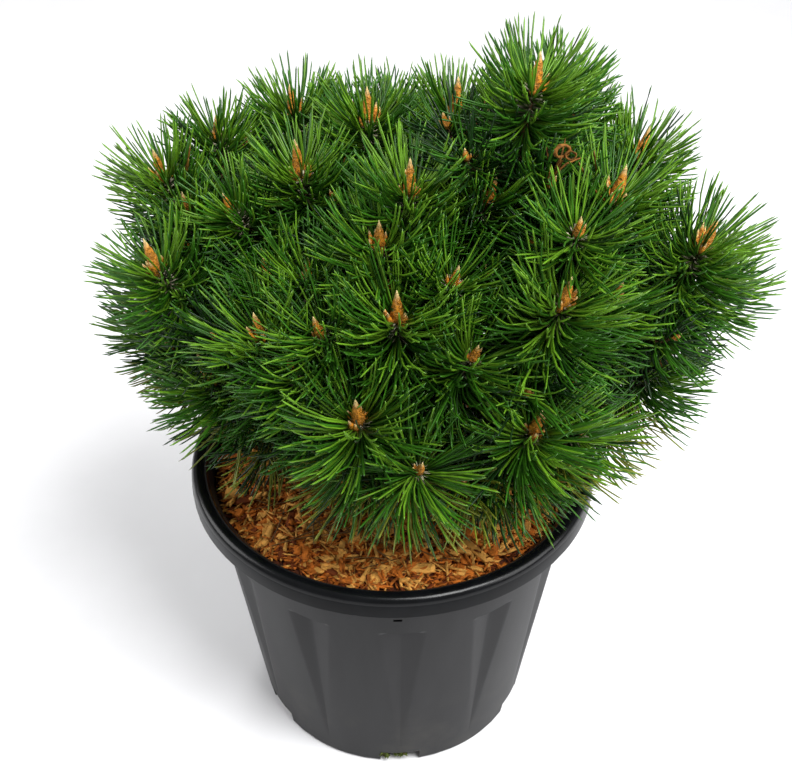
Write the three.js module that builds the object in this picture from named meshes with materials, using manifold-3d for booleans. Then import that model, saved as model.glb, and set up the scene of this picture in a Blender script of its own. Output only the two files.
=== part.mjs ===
// A dwarf mountain pine in a round nursery pot, in millimetres, +Z up.
// The origin is the centre of the pot's underside, and the -Y side is the front.
// The pot is filled with substrate under a layer of wood chips. A short trunk stands on the chips and forks
// into boughs, and each bough carries one mass of needled shoots.

import * as THREE from 'three';
import { mergeVertices } from 'three/addons/utils/BufferGeometryUtils.js';
import Module from 'manifold-3d';

const wasm = await Module();
wasm.setup();

// The clear gap between neighbouring pieces.
const GAP = 0.3;

// The pot: a tapering wall with V-shaped flutes, a turned-down lip, and drain notches at the foot.
const POT = {
  height: 237, footRadius: 109, shoulderRadius: 137, shoulderHeight: 222, wall: 2.5, base: 3, sides: 60,
  lipRadius: 151, lipWidth: 12, skirt: 16.5, bevelFoot: 231,
};
const FLUTE = { count: 12, firstBearing: -87, foot: 20, top: 181, halfWidth: 16.5, depth: 5 };
const NOTCH = { everyFlutes: 2, width: 31, height: 12.5, depth: 22, outside: 4 };

// The fill: substrate up to a level, then wood chips with a flat seat for the trunk.
const SUBSTRATE_TOP = 205;
const CHIPS = {
  level: 222, heapHeight: 3, seatRadius: 27, fade: 25, rings: 5, ringWidth: 25, count: 24, nearest: 49,
  farthest: 122, shortest: 12, longest: 32, narrowest: 4, widest: 10, thinnest: 3, thickest: 5, raised: 0.6,
  roll: 0.35, pitch: 0.25,
};

// The trunk leans a little to the right, and its foot flares where the roots start.
const TRUNK = {
  footRadius: 23, radius: 14.5, tipRadius: 11, flareShare: 0.3, bend: [-6, 3, 262], top: [9, 6, 302],
};
const BOUGH = {
  rootRadius: 6.2, tipRadius: 4.2, forkShare: 0.88, tipShare: 0.9, bend: 0.45, thickestAt: 0.3,
  sides: 5, steps: 4,
};

// The shoots of a mass: a leader, and side shoots that leave it low down. A bud stands on each.
const CROWN_HEART = new THREE.Vector3(8, 5, 268);
const SHOOT = { length: 96, outwardShare: 0.62, upwards: 0.58, bend: 0.5, footRadius: 3.8, tipRadius: 2.6 };
const SIDE = {
  reach: 50, nearest: 0.92, farthest: 1.1, drop: 9, leastDrop: 0.5, mostDrop: 1.5, lowest: 0.14, apart: 0.1,
  spread: 0.35, bend: 0.45,
};
const BUD = { length: 21, radius: 4.4, widestAt: 0.35, middleAt: 0.4 };

// The needles stand in whorls round each shoot. A whorl is one toothed solid, and each of its points is a
// needle. The needles are longer on the side that faced the light, which is the front.
const WHORL = {
  count: 3, lowestAt: 0.44, highestAt: 0.96, lowPitch: 100, highPitch: 52, thickness: 7, web: 0.27,
};
const NEEDLE = {
  length: 52, sunnyExtra: 14, shortest: 0.86, longest: 1.06, perWhorl: 9, clearance: 8, kinClearance: 1,
  lowestLevel: 246, shares: [1, 0.85, 0.7, 0.55, 0.42],
};

// One mass to a row, placed by the middle of its leader's bud: the bearing from +X in degrees, the reach from
// the pot's axis and the height. "on" is the limb that its bough leaves and "at" how far along that limb.
// "sides" gives the turn of each side shoot round the leader, in degrees from level and anticlockwise.
const MASSES = [
  { name: 'front', on: 'trunk', at: 0.62, bearing: -100, reach: 121, height: 369, sides: [-35, 150] },
  { name: 'front_high', on: 'front', at: 0.35, bearing: -88, reach: 88, height: 425, sides: [-175, -28] },
  { name: 'top_low', on: 'front_high', at: 0.3, bearing: -98, reach: 53, height: 452, sides: [-15] },
  { name: 'front_right', on: 'trunk', at: 0.74, bearing: -52, reach: 145, height: 357, sides: [-25] },
  { name: 'front_right_high', on: 'front_right', at: 0.35, bearing: -41, reach: 137, height: 437, sides: [-20] },
  { name: 'left_low', on: 'trunk', at: 0.68, bearing: -158, reach: 133, height: 350, sides: [172] },
  { name: 'left_front', on: 'left_low', at: 0.4, bearing: -140, reach: 109, height: 399, sides: [94, 138] },
  { name: 'left', on: 'trunk', at: 0.84, bearing: -172, reach: 156, height: 418, sides: [150] },
  { name: 'left_back', on: 'left', at: 0.4, bearing: 163, reach: 165, height: 448, sides: [145] },
  { name: 'left_rear', on: 'left', at: 0.25, bearing: 170, reach: 178, height: 345, sides: [-140] },
  { name: 'right', on: 'trunk', at: 0.88, bearing: -12, reach: 200, height: 447, sides: [-58] },
  { name: 'right_low', on: 'trunk', at: 0.56, bearing: -10, reach: 185, height: 347, sides: [25] },
  { name: 'right_high', on: 'right', at: 0.4, bearing: -10, reach: 142, height: 472, sides: [160] },
  { name: 'right_back', on: 'right', at: 0.3, bearing: 18, reach: 178, height: 460, sides: [68] },
  { name: 'right_rear', on: 'right_low', at: 0.3, bearing: 27, reach: 188, height: 378, sides: [-70] },
  { name: 'top_right', on: 'trunk', at: 1, bearing: 0, reach: 87, height: 535, sides: [-34] },
  { name: 'top_front', on: 'trunk', at: 0.97, bearing: -70, reach: 32, height: 480, sides: [-12] },
  { name: 'top_back', on: 'top_right', at: 0.3, bearing: 60, reach: 87, height: 483, sides: [-130] },
  { name: 'top', on: 'trunk', at: 0.95, bearing: 105, reach: 62, height: 483, sides: [-90] },
  { name: 'top_left', on: 'top', at: 0.25, bearing: 162, reach: 64, height: 466, sides: [-60] },
  { name: 'back_left', on: 'trunk', at: 0.8, bearing: 134, reach: 188, height: 392, sides: [-110] },
  { name: 'back_left_high', on: 'back_left', at: 0.35, bearing: 125, reach: 122, height: 470, sides: [-70] },
  { name: 'back', on: 'trunk', at: 0.72, bearing: 96, reach: 186, height: 372, sides: [175] },
  { name: 'back_high', on: 'back', at: 0.4, bearing: 88, reach: 132, height: 452, sides: [165, -5] },
  { name: 'back_right', on: 'trunk', at: 0.66, bearing: 62, reach: 190, height: 356, sides: [175] },
  { name: 'back_right_high', on: 'back_right', at: 0.4, bearing: 45, reach: 168, height: 436, sides: [20] },
];

const FINISH = {
  pot: { color: 0x2e3032, roughness: 0.42, metalness: 0 },
  substrate: { color: 0x33241a, roughness: 0.95, metalness: 0 },
  chips: { color: 0xa8703c, roughness: 0.85, metalness: 0 },
  bark: { color: 0x4a3626, roughness: 0.9, metalness: 0 },
  needles: { color: 0x2f6b1e, roughness: 0.5, metalness: 0 },
};

const UP = new THREE.Vector3(0, 0, 1);
const radians = THREE.MathUtils.degToRad;
const lerp = THREE.MathUtils.lerp;

// A repeatable run of numbers from 0 to 1.
function dice(seed) {
  let state = (seed * 2654435761 + 12345) >>> 0;
  return () => {
    state = (Math.imul(state, 1664525) + 1013904223) >>> 0;
    return state / 4294967296;
  };
}

// A closed three.js geometry as a solid that can be joined and cut.
function solid(geometry) {
  geometry.deleteAttribute('normal');
  geometry.deleteAttribute('uv');
  const merged = mergeVertices(geometry, 1e-4);
  const corners = merged.index.array;
  const faces = [];
  for (let i = 0; i < corners.length; i += 3) {
    const [a, b, c] = [corners[i], corners[i + 1], corners[i + 2]];
    if (a !== b && b !== c && c !== a) faces.push(a, b, c);
  }
  const vertProperties = new Float32Array(merged.attributes.position.array);
  return new wasm.Manifold(new wasm.Mesh({ numProp: 3, vertProperties, triVerts: new Uint32Array(faces) }));
}

const joined = (solids) => solids.reduce((whole, piece) => whole.add(piece));

// The largest of the loose pieces of a solid, without the scraps.
const larger = (one, other) => (one.volume() > other.volume() ? one : other);
const mainPiece = (made) => made.decompose().reduce(larger);

// Adds a solid to the model as a named mesh.
const group = new THREE.Group();
function place(name, made, finish) {
  const mesh = made.getMesh();
  const geometry = new THREE.BufferGeometry()
    .setAttribute('position', new THREE.BufferAttribute(new Float32Array(mesh.vertProperties), 3))
    .setIndex(new THREE.BufferAttribute(new Uint32Array(mesh.triVerts), 1));
  geometry.computeVertexNormals();
  const node = new THREE.Mesh(geometry, new THREE.MeshStandardMaterial(finish));
  node.name = name;
  group.add(node);
}

// A solid turned round the pot's axis from [radius, height] points, which start and end on the axis.
function turned(profile, sides = POT.sides) {
  const points = profile.map(([r, z]) => new THREE.Vector2(r, z));
  return new THREE.LatheGeometry(points, sides).rotateX(Math.PI / 2);
}

const wallRadius = (z) => lerp(POT.footRadius, POT.shoulderRadius, z / POT.shoulderHeight);
const fluteBearing = (index) => radians(FLUTE.firstBearing + index * 360 / FLUTE.count);

// One flute: a diamond-section spike that lies in the wall with its point at the foot. It is moved "inset"
// into the pot, and carried on past the flute's top by "over".
function fluteSpike(index, inset, over) {
  const rise = FLUTE.top + over - FLUTE.foot;
  const growth = rise / (FLUTE.top - FLUTE.foot);
  const spike = new THREE.ConeGeometry(1, rise, 4).rotateX(-Math.PI / 2);
  spike.scale(FLUTE.depth * growth, FLUTE.halfWidth * growth, 1).translate(0, 0, FLUTE.foot + rise / 2);
  const corners = spike.attributes.position;
  for (let i = 0; i < corners.count; i += 1) {
    corners.setX(i, corners.getX(i) + wallRadius(corners.getZ(i)) - inset);
  }
  return solid(spike.rotateZ(fluteBearing(index)));
}

function fluteSpikes(inset, over) {
  const spikes = [];
  for (let i = 0; i < FLUTE.count; i += 1) spikes.push(fluteSpike(i, inset, over));
  return joined(spikes);
}

// The room inside the pot's wall, made smaller by "inset". "rim" lists its upper edge as [outward step,
// height].
function potRoom(inset, floor, rim) {
  const inside = (z) => wallRadius(z) - POT.wall - inset;
  const edge = rim.map(([step, z]) => [inside(z) + step, z]);
  const top = rim[rim.length - 1][1];
  const room = solid(turned([[0, floor], [inside(floor), floor], ...edge, [0, top]]));
  return room.subtract(fluteSpikes(POT.wall + inset, POT.wall + inset));
}

function drainNotches() {
  const notches = [];
  for (let i = 0; i < FLUTE.count; i += NOTCH.everyFlutes) {
    const box = new THREE.BoxGeometry(NOTCH.depth, NOTCH.width, 2 * NOTCH.height);
    box.translate(POT.footRadius + NOTCH.outside - NOTCH.depth / 2, 0, 0);
    notches.push(solid(box.rotateZ(fluteBearing(i))));
  }
  return joined(notches);
}

function pot() {
  const top = POT.height;
  const edge = POT.lipRadius;
  const mouth = POT.lipRadius - POT.lipWidth;
  const body = solid(turned([
    [0, 0], [POT.footRadius - 2, 0], [POT.footRadius, 2], [wallRadius(top - 8), top - 8],
    [mouth + 1.5, top - 3], [edge - 5, top - 3], [edge - POT.wall, top - 6],
    [edge - POT.wall, top - POT.skirt], [edge, top - POT.skirt], [edge, top - 4], [edge - 4, top],
    [mouth + 3, top], [mouth, top - 1.2], [0, top - 1.2],
  ]));
  const bevel = mouth - (wallRadius(top) - POT.wall);
  const room = potRoom(0, POT.base, [[0, POT.bevelFoot], [bevel, top - 1.2], [bevel, top + 1]]);
  return body.subtract(fluteSpikes(0, 0)).subtract(room).subtract(drainNotches());
}

// The height of the chips' surface over their level: crossing waves that die out at the trunk's seat.
function heapHeight(x, y) {
  const away = THREE.MathUtils.clamp((Math.hypot(x, y) - CHIPS.seatRadius) / CHIPS.fade, 0, 1);
  const waves = Math.sin(x * 0.051 + 1.3) * Math.cos(y * 0.043 - 0.4) + 0.4 * Math.sin((x - y) * 0.06);
  return CHIPS.heapHeight * away * waves;
}

function chipLayer() {
  const foot = SUBSTRATE_TOP + GAP;
  const profile = [[0, foot], [POT.lipRadius, foot], [POT.lipRadius, CHIPS.level]];
  for (let ring = CHIPS.rings - 1; ring >= 0; ring -= 1) {
    profile.push([CHIPS.seatRadius + ring * CHIPS.ringWidth, CHIPS.level]);
  }
  profile.push([0, CHIPS.level]);
  const layer = turned(profile, POT.sides / 2);
  const corners = layer.attributes.position;
  for (let i = 0; i < corners.count; i += 1) {
    const raised = corners.getZ(i) > foot + 1 ? heapHeight(corners.getX(i), corners.getY(i)) : 0;
    corners.setZ(i, corners.getZ(i) + raised);
  }
  const pieces = [solid(layer)];
  const next = dice(7);
  for (let i = 0; i < CHIPS.count; i += 1) {
    const length = lerp(CHIPS.shortest, CHIPS.longest, next());
    const width = lerp(CHIPS.narrowest, CHIPS.widest, next());
    const chip = new THREE.BoxGeometry(length, width, lerp(CHIPS.thinnest, CHIPS.thickest, next()));
    chip.rotateX(lerp(-CHIPS.roll, CHIPS.roll, next())).rotateY(lerp(-CHIPS.pitch, CHIPS.pitch, next()));
    chip.rotateZ(next() * Math.PI);
    const away = lerp(CHIPS.nearest, CHIPS.farthest, Math.sqrt(next()));
    const bearing = next() * 2 * Math.PI;
    const [x, y] = [away * Math.cos(bearing), away * Math.sin(bearing)];
    pieces.push(solid(chip.translate(x, y, CHIPS.level + heapHeight(x, y) + CHIPS.raised)));
  }
  return mainPiece(joined(pieces).intersect(potRoom(GAP, foot, [[0, POT.height - 8]])));
}

// The places along a curve, each with its direction and two directions across it that turn as little as they
// can.
function framesAlong(curve, stations) {
  let across = new THREE.Vector3(1, 0, 0);
  return stations.map((at) => {
    const along = curve.getTangent(Math.min(at, 1));
    across = across.clone().addScaledVector(along, -across.dot(along)).normalize();
    return { centre: curve.getPoint(Math.min(at, 1)), along, across, side: along.clone().cross(across) };
  });
}

// A limb: a cylinder whose rings are moved onto a curve and sized by radiusAt(t), "grow" larger all over.
function limbSolid({ curve, radiusAt, sides, steps, levelFoot }, grow = 0) {
  const tube = new THREE.CylinderGeometry(1, 1, 1, sides, steps).rotateX(Math.PI / 2);
  const rings = framesAlong(curve, [...Array(steps + 1).keys()].map((step) => step / steps));
  rings[0].centre.addScaledVector(rings[0].along, -grow);
  rings[steps].centre.addScaledVector(rings[steps].along, grow);
  const corners = tube.attributes.position;
  for (let i = 0; i < corners.count; i += 1) {
    const step = Math.round((corners.getZ(i) + 0.5) * steps);
    const radius = radiusAt(step / steps) + grow;
    const { centre, across, side } = rings[step];
    const corner = centre.clone().addScaledVector(across, corners.getX(i) * radius)
      .addScaledVector(side, corners.getY(i) * radius);
    if (levelFoot && step === 0) corner.set(corners.getX(i) * radius, corners.getY(i) * radius, centre.z);
    corners.setXYZ(i, ...corner);
  }
  return solid(tube);
}

const taper = (foot, tip) => (t) => lerp(foot, tip, t);

function trunkLimb() {
  const foot = new THREE.Vector3(0, 0, CHIPS.level + GAP);
  const curve = new THREE.QuadraticBezierCurve3(
    foot, new THREE.Vector3(...TRUNK.bend), new THREE.Vector3(...TRUNK.top));
  const radiusAt = (t) => {
    const flare = Math.max(0, 1 - t / TRUNK.flareShare);
    return lerp(TRUNK.radius, TRUNK.tipRadius, t) + (TRUNK.footRadius - TRUNK.radius) * flare * flare;
  };
  return { curve, radiusAt, sides: 10, steps: 8, levelFoot: true };
}

// The direction from the crown's heart to a point.
const outwardOf = (point) => point.clone().sub(CROWN_HEART).normalize();

// The paths of a mass's shoots. The leader leaves the crown's heart behind it and turns upwards, and each
// side shoot ends beside the leader's tip.
function shootPaths(mass, next) {
  const [east, north] = [Math.cos(radians(mass.bearing)), Math.sin(radians(mass.bearing))];
  const bud = new THREE.Vector3(mass.reach * east, mass.reach * north, mass.height);
  const outward = outwardOf(bud);
  const growth = outward.clone().lerp(UP, SHOOT.upwards).normalize();
  const tip = bud.clone().addScaledVector(growth, -BUD.length * BUD.middleAt);
  const foot = tip.clone().addScaledVector(outward, -SHOOT.length * SHOOT.outwardShare)
    .addScaledVector(growth, -SHOOT.length * (1 - SHOOT.outwardShare));
  const bend = tip.clone().addScaledVector(growth, -SHOOT.length * SHOOT.bend);
  const leader = new THREE.QuadraticBezierCurve3(foot, bend, tip);
  const level = new THREE.Vector3(-north, east, 0);
  const uphill = outward.clone().cross(level);
  const paths = [leader];
  mass.sides.forEach((turn, index) => {
    const away = level.clone().multiplyScalar(Math.cos(radians(turn)))
      .addScaledVector(uphill, Math.sin(radians(turn)));
    const end = tip.clone().addScaledVector(away, SIDE.reach * lerp(SIDE.nearest, SIDE.farthest, next()))
      .addScaledVector(outward, -SIDE.drop * lerp(SIDE.leastDrop, SIDE.mostDrop, next()));
    const rise = growth.clone().addScaledVector(away, SIDE.spread).normalize();
    const start = leader.getPoint(SIDE.lowest + SIDE.apart * index);
    const sideBend = end.clone().addScaledVector(rise, -SHOOT.length * SIDE.bend);
    paths.push(new THREE.QuadraticBezierCurve3(start, sideBend, end));
  });
  return paths;
}

// A bough leaves its parent limb, bends into line with the foot of its mass's leader and stops short of it.
function boughLimb(parent, at, leader) {
  const root = parent.curve.getPoint(at);
  const arrival = leader.getTangent(0);
  const tip = leader.getPoint(0).addScaledVector(arrival, -GAP);
  const bend = tip.clone().addScaledVector(arrival, -BOUGH.bend * root.distanceTo(tip));
  const rootRadius = Math.min(BOUGH.rootRadius, parent.radiusAt(at) * BOUGH.forkShare);
  return {
    curve: new THREE.QuadraticBezierCurve3(root, bend, tip),
    radiusAt: taper(rootRadius, Math.min(BOUGH.tipRadius, rootRadius * BOUGH.tipShare)),
    sides: BOUGH.sides,
    steps: BOUGH.steps,
  };
}

// The distance from a point to a row of points joined by straight lines.
function distanceToPath(point, path) {
  const nearest = new THREE.Vector3();
  let best = Infinity;
  for (let i = 0; i + 1 < path.length; i += 1) {
    new THREE.Line3(path[i], path[i + 1]).closestPointToPoint(point, true, nearest);
    best = Math.min(best, nearest.distanceTo(point));
  }
  return best;
}

// Whether a needle keeps to its own space: nearer to its shoot than to any other, clear of every limb, and
// above the pot. It leaves more room between two masses than between two shoots of one mass.
function keepsToItsSpace(root, direction, length, space) {
  return [0.4, 0.7, 1].every((share) => {
    const point = root.clone().addScaledVector(direction, length * share);
    if (point.z < NEEDLE.lowestLevel) return false;
    const home = distanceToPath(point, space.home);
    return space.kin.every((path) => distanceToPath(point, path) > home + NEEDLE.kinClearance)
      && space.others.every((path) => distanceToPath(point, path) > home + NEEDLE.clearance)
      && space.limbs.every((limb) => distanceToPath(point, limb.path) > limb.thickest + NEEDLE.clearance / 2);
  });
}

// The rings of a shoot from its foot to its bud: three-cornered on the twig, with a whorl's rim between each
// two.
function shootRings(path) {
  const half = WHORL.thickness / 2 / path.getLength();
  const rings = [{ at: 0, radius: SHOOT.footRadius, corners: 3 }];
  for (let i = 0; i < WHORL.count; i += 1) {
    const share = i / (WHORL.count - 1);
    const at = lerp(WHORL.lowestAt, WHORL.highestAt, share);
    const radius = lerp(SHOOT.footRadius, SHOOT.tipRadius, at);
    rings.push({ at: at - half, radius, corners: 3 });
    rings.push({ at, pitch: radians(lerp(WHORL.lowPitch, WHORL.highPitch, share)) });
    rings.push({ at: at + half, radius, corners: 3 });
  }
  rings.push({ at: 1, radius: BUD.radius, corners: 6, beyond: BUD.length * BUD.widestAt });
  return rings;
}

// The points round a whorl's rim: a needle's tip, then the web between two needles. A needle that would leave
// its own space is shortened to the first share of its length that fits, or left out.
function whorlRim({ centre, along, across, side }, pitch, next, space) {
  const sunny = Math.max(0, -outwardOf(centre).y);
  const rim = [];
  for (let i = 0; i < 2 * NEEDLE.perWhorl; i += 1) {
    const turn = i * Math.PI / NEEDLE.perWhorl;
    const outward = across.clone().multiplyScalar(Math.cos(turn)).addScaledVector(side, Math.sin(turn));
    const direction = along.clone().multiplyScalar(Math.cos(pitch)).addScaledVector(outward, Math.sin(pitch));
    const growth = lerp(NEEDLE.shortest, NEEDLE.longest, next());
    const length = (NEEDLE.length + NEEDLE.sunnyExtra * sunny) * growth;
    const fits = (share) => keepsToItsSpace(centre, direction, length * share, space);
    const share = i % 2 ? WHORL.web : NEEDLE.shares.find(fits) ?? WHORL.web;
    rim.push(centre.clone().addScaledVector(direction, length * share));
  }
  return rim;
}

// One shoot as a single turned solid, whose rings are moved onto the path and out to the needles' tips.
function shootSolid(path, next, space) {
  const spokes = 2 * NEEDLE.perWhorl;
  const rings = shootRings(path);
  const frames = framesAlong(path, rings.map((ring) => ring.at));
  const bounds = rings.map((ring, index) => {
    const { centre, along, across, side } = frames[index];
    if (ring.pitch !== undefined) return whorlRim(frames[index], ring.pitch, next, space);
    const middle = centre.clone().addScaledVector(along, ring.beyond ?? 0);
    return [...Array(spokes).keys()].map((spoke) => {
      const corner = Math.floor(spoke * ring.corners / spokes) + 0.5;
      const turn = corner * 2 * Math.PI / ring.corners;
      return middle.clone().addScaledVector(across, Math.cos(turn) * ring.radius)
        .addScaledVector(side, Math.sin(turn) * ring.radius);
    });
  });
  const last = frames[frames.length - 1];
  const ends = [frames[0].centre, last.centre.clone().addScaledVector(last.along, BUD.length)];
  const profile = rings.map((_, index) => new THREE.Vector2(1, index + 1));
  const made = new THREE.LatheGeometry(
    [new THREE.Vector2(0, 0), ...profile, new THREE.Vector2(0, rings.length + 1)], spokes);
  const corners = made.attributes.position;
  for (let i = 0; i < corners.count; i += 1) {
    const level = Math.round(corners.getY(i));
    const turn = Math.atan2(corners.getX(i), corners.getZ(i)) / (2 * Math.PI);
    const spoke = (Math.round(turn * spokes) + spokes) % spokes;
    const onAxis = level === 0 || level === rings.length + 1;
    corners.setXYZ(i, ...(onAxis ? ends[level === 0 ? 0 : 1] : bounds[level - 1][spoke]));
  }
  return solid(made);
}

// The pot and what fills it
place('pot', pot(), FINISH.pot);
const substrate = potRoom(GAP, POT.base + GAP, [[0, SUBSTRATE_TOP]]).subtract(drainNotches());
place('substrate', substrate, FINISH.substrate);
place('wood_chip_mulch', chipLayer(), FINISH.chips);

// The trunk and the boughs, each cut clear of those before it
const limbs = { trunk: trunkLimb() };
const cutters = [limbSolid(limbs.trunk, GAP)];
place('trunk', limbSolid(limbs.trunk), FINISH.bark);
const shoots = MASSES.map((mass, index) => shootPaths(mass, dice(index + 1)));
MASSES.forEach((mass, index) => {
  const bough = boughLimb(limbs[mass.on], mass.at, shoots[index][0]);
  place(`${mass.name}_bough`, mainPiece(limbSolid(bough).subtract(joined(cutters))), FINISH.bark);
  cutters.push(limbSolid(bough, GAP));
  limbs[mass.name] = bough;
});

// The masses of needled shoots
const limbPaths = Object.values(limbs).map((limb) => (
  { path: limb.curve.getPoints(limb.steps), thickest: limb.radiusAt(BOUGH.thickestAt) }));
const shootLines = shoots.map((paths) => paths.map((path) => path.getPoints(6)));
MASSES.forEach((mass, index) => {
  const next = dice(index + 101);
  const others = shootLines.filter((_, other) => other !== index).flat();
  const pieces = shoots[index].map((path, order) => {
    const home = shootLines[index][order];
    const kin = shootLines[index].filter((line) => line !== home);
    return shootSolid(path, next, { home, kin, others, limbs: limbPaths });
  });
  place(`${mass.name}_needles`, mainPiece(joined(pieces)), FINISH.needles);
});

export default group;
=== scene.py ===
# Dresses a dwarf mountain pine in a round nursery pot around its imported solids, as a Blender add-on.

import math

import bmesh
import bpy
import numpy as np
from bpy.props import FloatProperty, FloatVectorProperty, IntProperty, PointerProperty
from mathutils import Matrix, Vector, noise


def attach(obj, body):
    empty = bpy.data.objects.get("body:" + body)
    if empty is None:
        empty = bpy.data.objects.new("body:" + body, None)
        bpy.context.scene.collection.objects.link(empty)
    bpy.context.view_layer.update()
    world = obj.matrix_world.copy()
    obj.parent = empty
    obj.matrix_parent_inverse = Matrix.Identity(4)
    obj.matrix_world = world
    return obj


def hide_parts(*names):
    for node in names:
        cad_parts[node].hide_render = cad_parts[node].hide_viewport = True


bl_info = {
    "name": "Potted mountain pine",
    "version": (1, 0, 0),
    "blender": (4, 5, 0),
    "location": "3D View > Sidebar > Pine",
    "description": "Builds the pot, mulch, limbs, needles and buds of a potted dwarf pine",
    "category": "Add Mesh",
}

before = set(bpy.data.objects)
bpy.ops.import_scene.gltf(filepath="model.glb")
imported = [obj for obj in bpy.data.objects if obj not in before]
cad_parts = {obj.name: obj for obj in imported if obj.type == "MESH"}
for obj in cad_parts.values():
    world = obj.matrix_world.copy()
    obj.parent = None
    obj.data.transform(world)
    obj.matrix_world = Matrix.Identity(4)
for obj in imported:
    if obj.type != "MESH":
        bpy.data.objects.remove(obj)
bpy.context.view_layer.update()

UP = Vector((0, 0, 1))
UP_ROW = np.array([0.0, 0.0, 1.0])
GAP = 0.0003
FULL_TURN = 2 * math.pi
GOLDEN_TURN = math.radians(137.5)

# The pot's flutes, drain notches and small slot
FLUTE = {"count": 12, "first": math.radians(-87), "foot": 0.020, "top": 0.181, "ledge": 0.0014,
         "half_width": 0.0165, "narrowest": 0.006, "depth": 0.005}
FLUTE_COLUMNS = (0, 0.1, 0.34, 0.62, 0.86, 0.98, 1.1, 1.6, 2.6)
NOTCH = {"every": 2, "width": 0.031, "height": 0.0125, "depth": 0.022, "middle": 0.102}
SLOT = {"x": 0.0038, "z": 0.1985, "width": 0.0062, "height": 0.0024, "depth": 0.004}

# The levels of the wall's rings, close where the flutes end
WALL_HEIGHTS = (0.003, 0.008, 0.0125, 0.016, 0.020, 0.026, 0.038, 0.055, 0.075, 0.095, 0.115, 0.135,
                0.152, 0.167, 0.1765, 0.1796, 0.181, 0.1817, 0.1824, 0.1836, 0.188, 0.196, 0.205, 0.214,
                0.222, 0.229)

# The lip's section: how far in from its edge, or out from the mouth, and how far under its top a point is
UNDER_LIP = ((0.005, 0.003), (0.0028, 0.0048), (0.0025, 0.007))
OVER_LIP = ((0, 0.0120), (0.0002, 0.0080), (0.0004, 0.0055), (0.0008, 0.0036), (0.0016, 0.0020),
            (0.0028, 0.0008), (0.0044, 0.0001), (0.0058, 0))
INTO_MOUTH = ((0.0042, 0.0001), (0.0024, 0.0006), (0.0010, 0.0015), (0, 0.0030), (-0.0006, 0.0044))

# The plant's rule, with the source's sizes
CHIP_LEVEL = 0.222
SEAT_RADIUS = 0.027
TRUNK = {"foot_radius": 0.023, "radius": 0.0145, "tip_radius": 0.011, "flare_share": 0.3,
         "bend": Vector((-0.006, 0.003, 0.262)), "top": Vector((0.009, 0.006, 0.302))}
BOUGH = {"root_radius": 0.0062, "tip_radius": 0.0042, "fork_share": 0.88, "bend": 0.45}
CROWN_HEART = Vector((0.008, 0.005, 0.268))
SHOOT = {"length": 0.096, "outward_share": 0.62, "upwards": 0.58,
         "foot_radius": 0.0038, "tip_radius": 0.0026}
SIDE = {"reach": 0.050, "drop": 0.009, "lowest": 0.14, "apart": 0.1}
BUD_LENGTH = 0.021

# The dead, curled scales beyond the end of the twig nearest to this place. The seed is the vector noise's,
# which would start from the clock without it.
DRY = {"place": Vector((0.095, -0.035, 0.480)), "beyond": Vector((0.005, -0.005, 0.026)),
       "apart": Vector((0.0050, -0.001, -0.002)), "lengths": (0.022, 0.034),
       "ring_radius": 0.0048, "strand": 0.0010, "rings": 2, "strands": 6, "seed": 1796032167}

# The finer twigs of each mass: where they leave the leader's foot or the bough, and how far they carry
TWIG = {"count": 5, "reach": 0.042, "drop": 0.042, "length": 0.055, "candidates": 10, "lowest": 0.292,
        "foot_radius": 0.0024, "tip_radius": 0.0018}

# One mass to a row, as in the source: its name, the limb it leaves, how far along, its bearing, reach and
# height, and the turns of its side shoots
MASSES = (
    ("front", "trunk", 0.62, -100, 0.121, 0.369, (-35, 150)),
    ("front_high", "front", 0.35, -88, 0.088, 0.425, (-175, -28)),
    ("top_low", "front_high", 0.3, -98, 0.053, 0.452, (-15,)),
    ("front_right", "trunk", 0.74, -52, 0.145, 0.357, (-25,)),
    ("front_right_high", "front_right", 0.35, -41, 0.137, 0.437, (-20,)),
    ("left_low", "trunk", 0.68, -158, 0.133, 0.350, (172,)),
    ("left_front", "left_low", 0.4, -140, 0.109, 0.399, (94, 138)),
    ("left", "trunk", 0.84, -172, 0.156, 0.418, (150,)),
    ("left_back", "left", 0.4, 163, 0.165, 0.448, (145,)),
    ("left_rear", "left", 0.25, 170, 0.178, 0.345, (-140,)),
    ("right", "trunk", 0.88, -12, 0.200, 0.447, (-58,)),
    ("right_low", "trunk", 0.56, -10, 0.185, 0.347, (25,)),
    ("right_high", "right", 0.4, -10, 0.142, 0.472, (160,)),
    ("right_back", "right", 0.3, 18, 0.178, 0.460, (68,)),
    ("right_rear", "right_low", 0.3, 27, 0.188, 0.378, (-70,)),
    ("top_right", "trunk", 1, 0, 0.087, 0.535, (-34,)),
    ("top_front", "trunk", 0.97, -70, 0.032, 0.480, (-12,)),
    ("top_back", "top_right", 0.3, 60, 0.087, 0.483, (-130,)),
    ("top", "trunk", 0.95, 105, 0.062, 0.483, (-90,)),
    ("top_left", "top", 0.25, 162, 0.064, 0.466, (-60,)),
    ("back_left", "trunk", 0.8, 134, 0.188, 0.392, (-110,)),
    ("back_left_high", "back_left", 0.35, 125, 0.122, 0.470, (-70,)),
    ("back", "trunk", 0.72, 96, 0.186, 0.372, (175,)),
    ("back_high", "back", 0.4, 88, 0.132, 0.452, (165, -5)),
    ("back_right", "trunk", 0.66, 62, 0.190, 0.356, (175,)),
    ("back_right_high", "back_right", 0.4, 45, 0.168, 0.436, (20,)),
)
NEEDLE_NODES = ["%s_needles" % row[0] for row in MASSES]
LIMB_NODES = ["trunk"] + ["%s_bough" % row[0] for row in MASSES]

# What sets the ranks of shoots apart: how far their needles may reach into another head, the length of
# their needles and buds beside a leader's, and how light their needles start: partly younger growth, partly
# painted light on the outer leaders and painted shade on the inner twigs
RANK = {
    "leader": {"slack": 0.050, "needle": 1.0, "bud": 1.0, "fresh": 0.385},
    "side": {"slack": 0.026, "needle": 0.90, "bud": 0.74, "fresh": 0.32},
    "twig": {"slack": 0.010, "needle": 0.76, "bud": 0.46, "fresh": 0.08},
}

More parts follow.
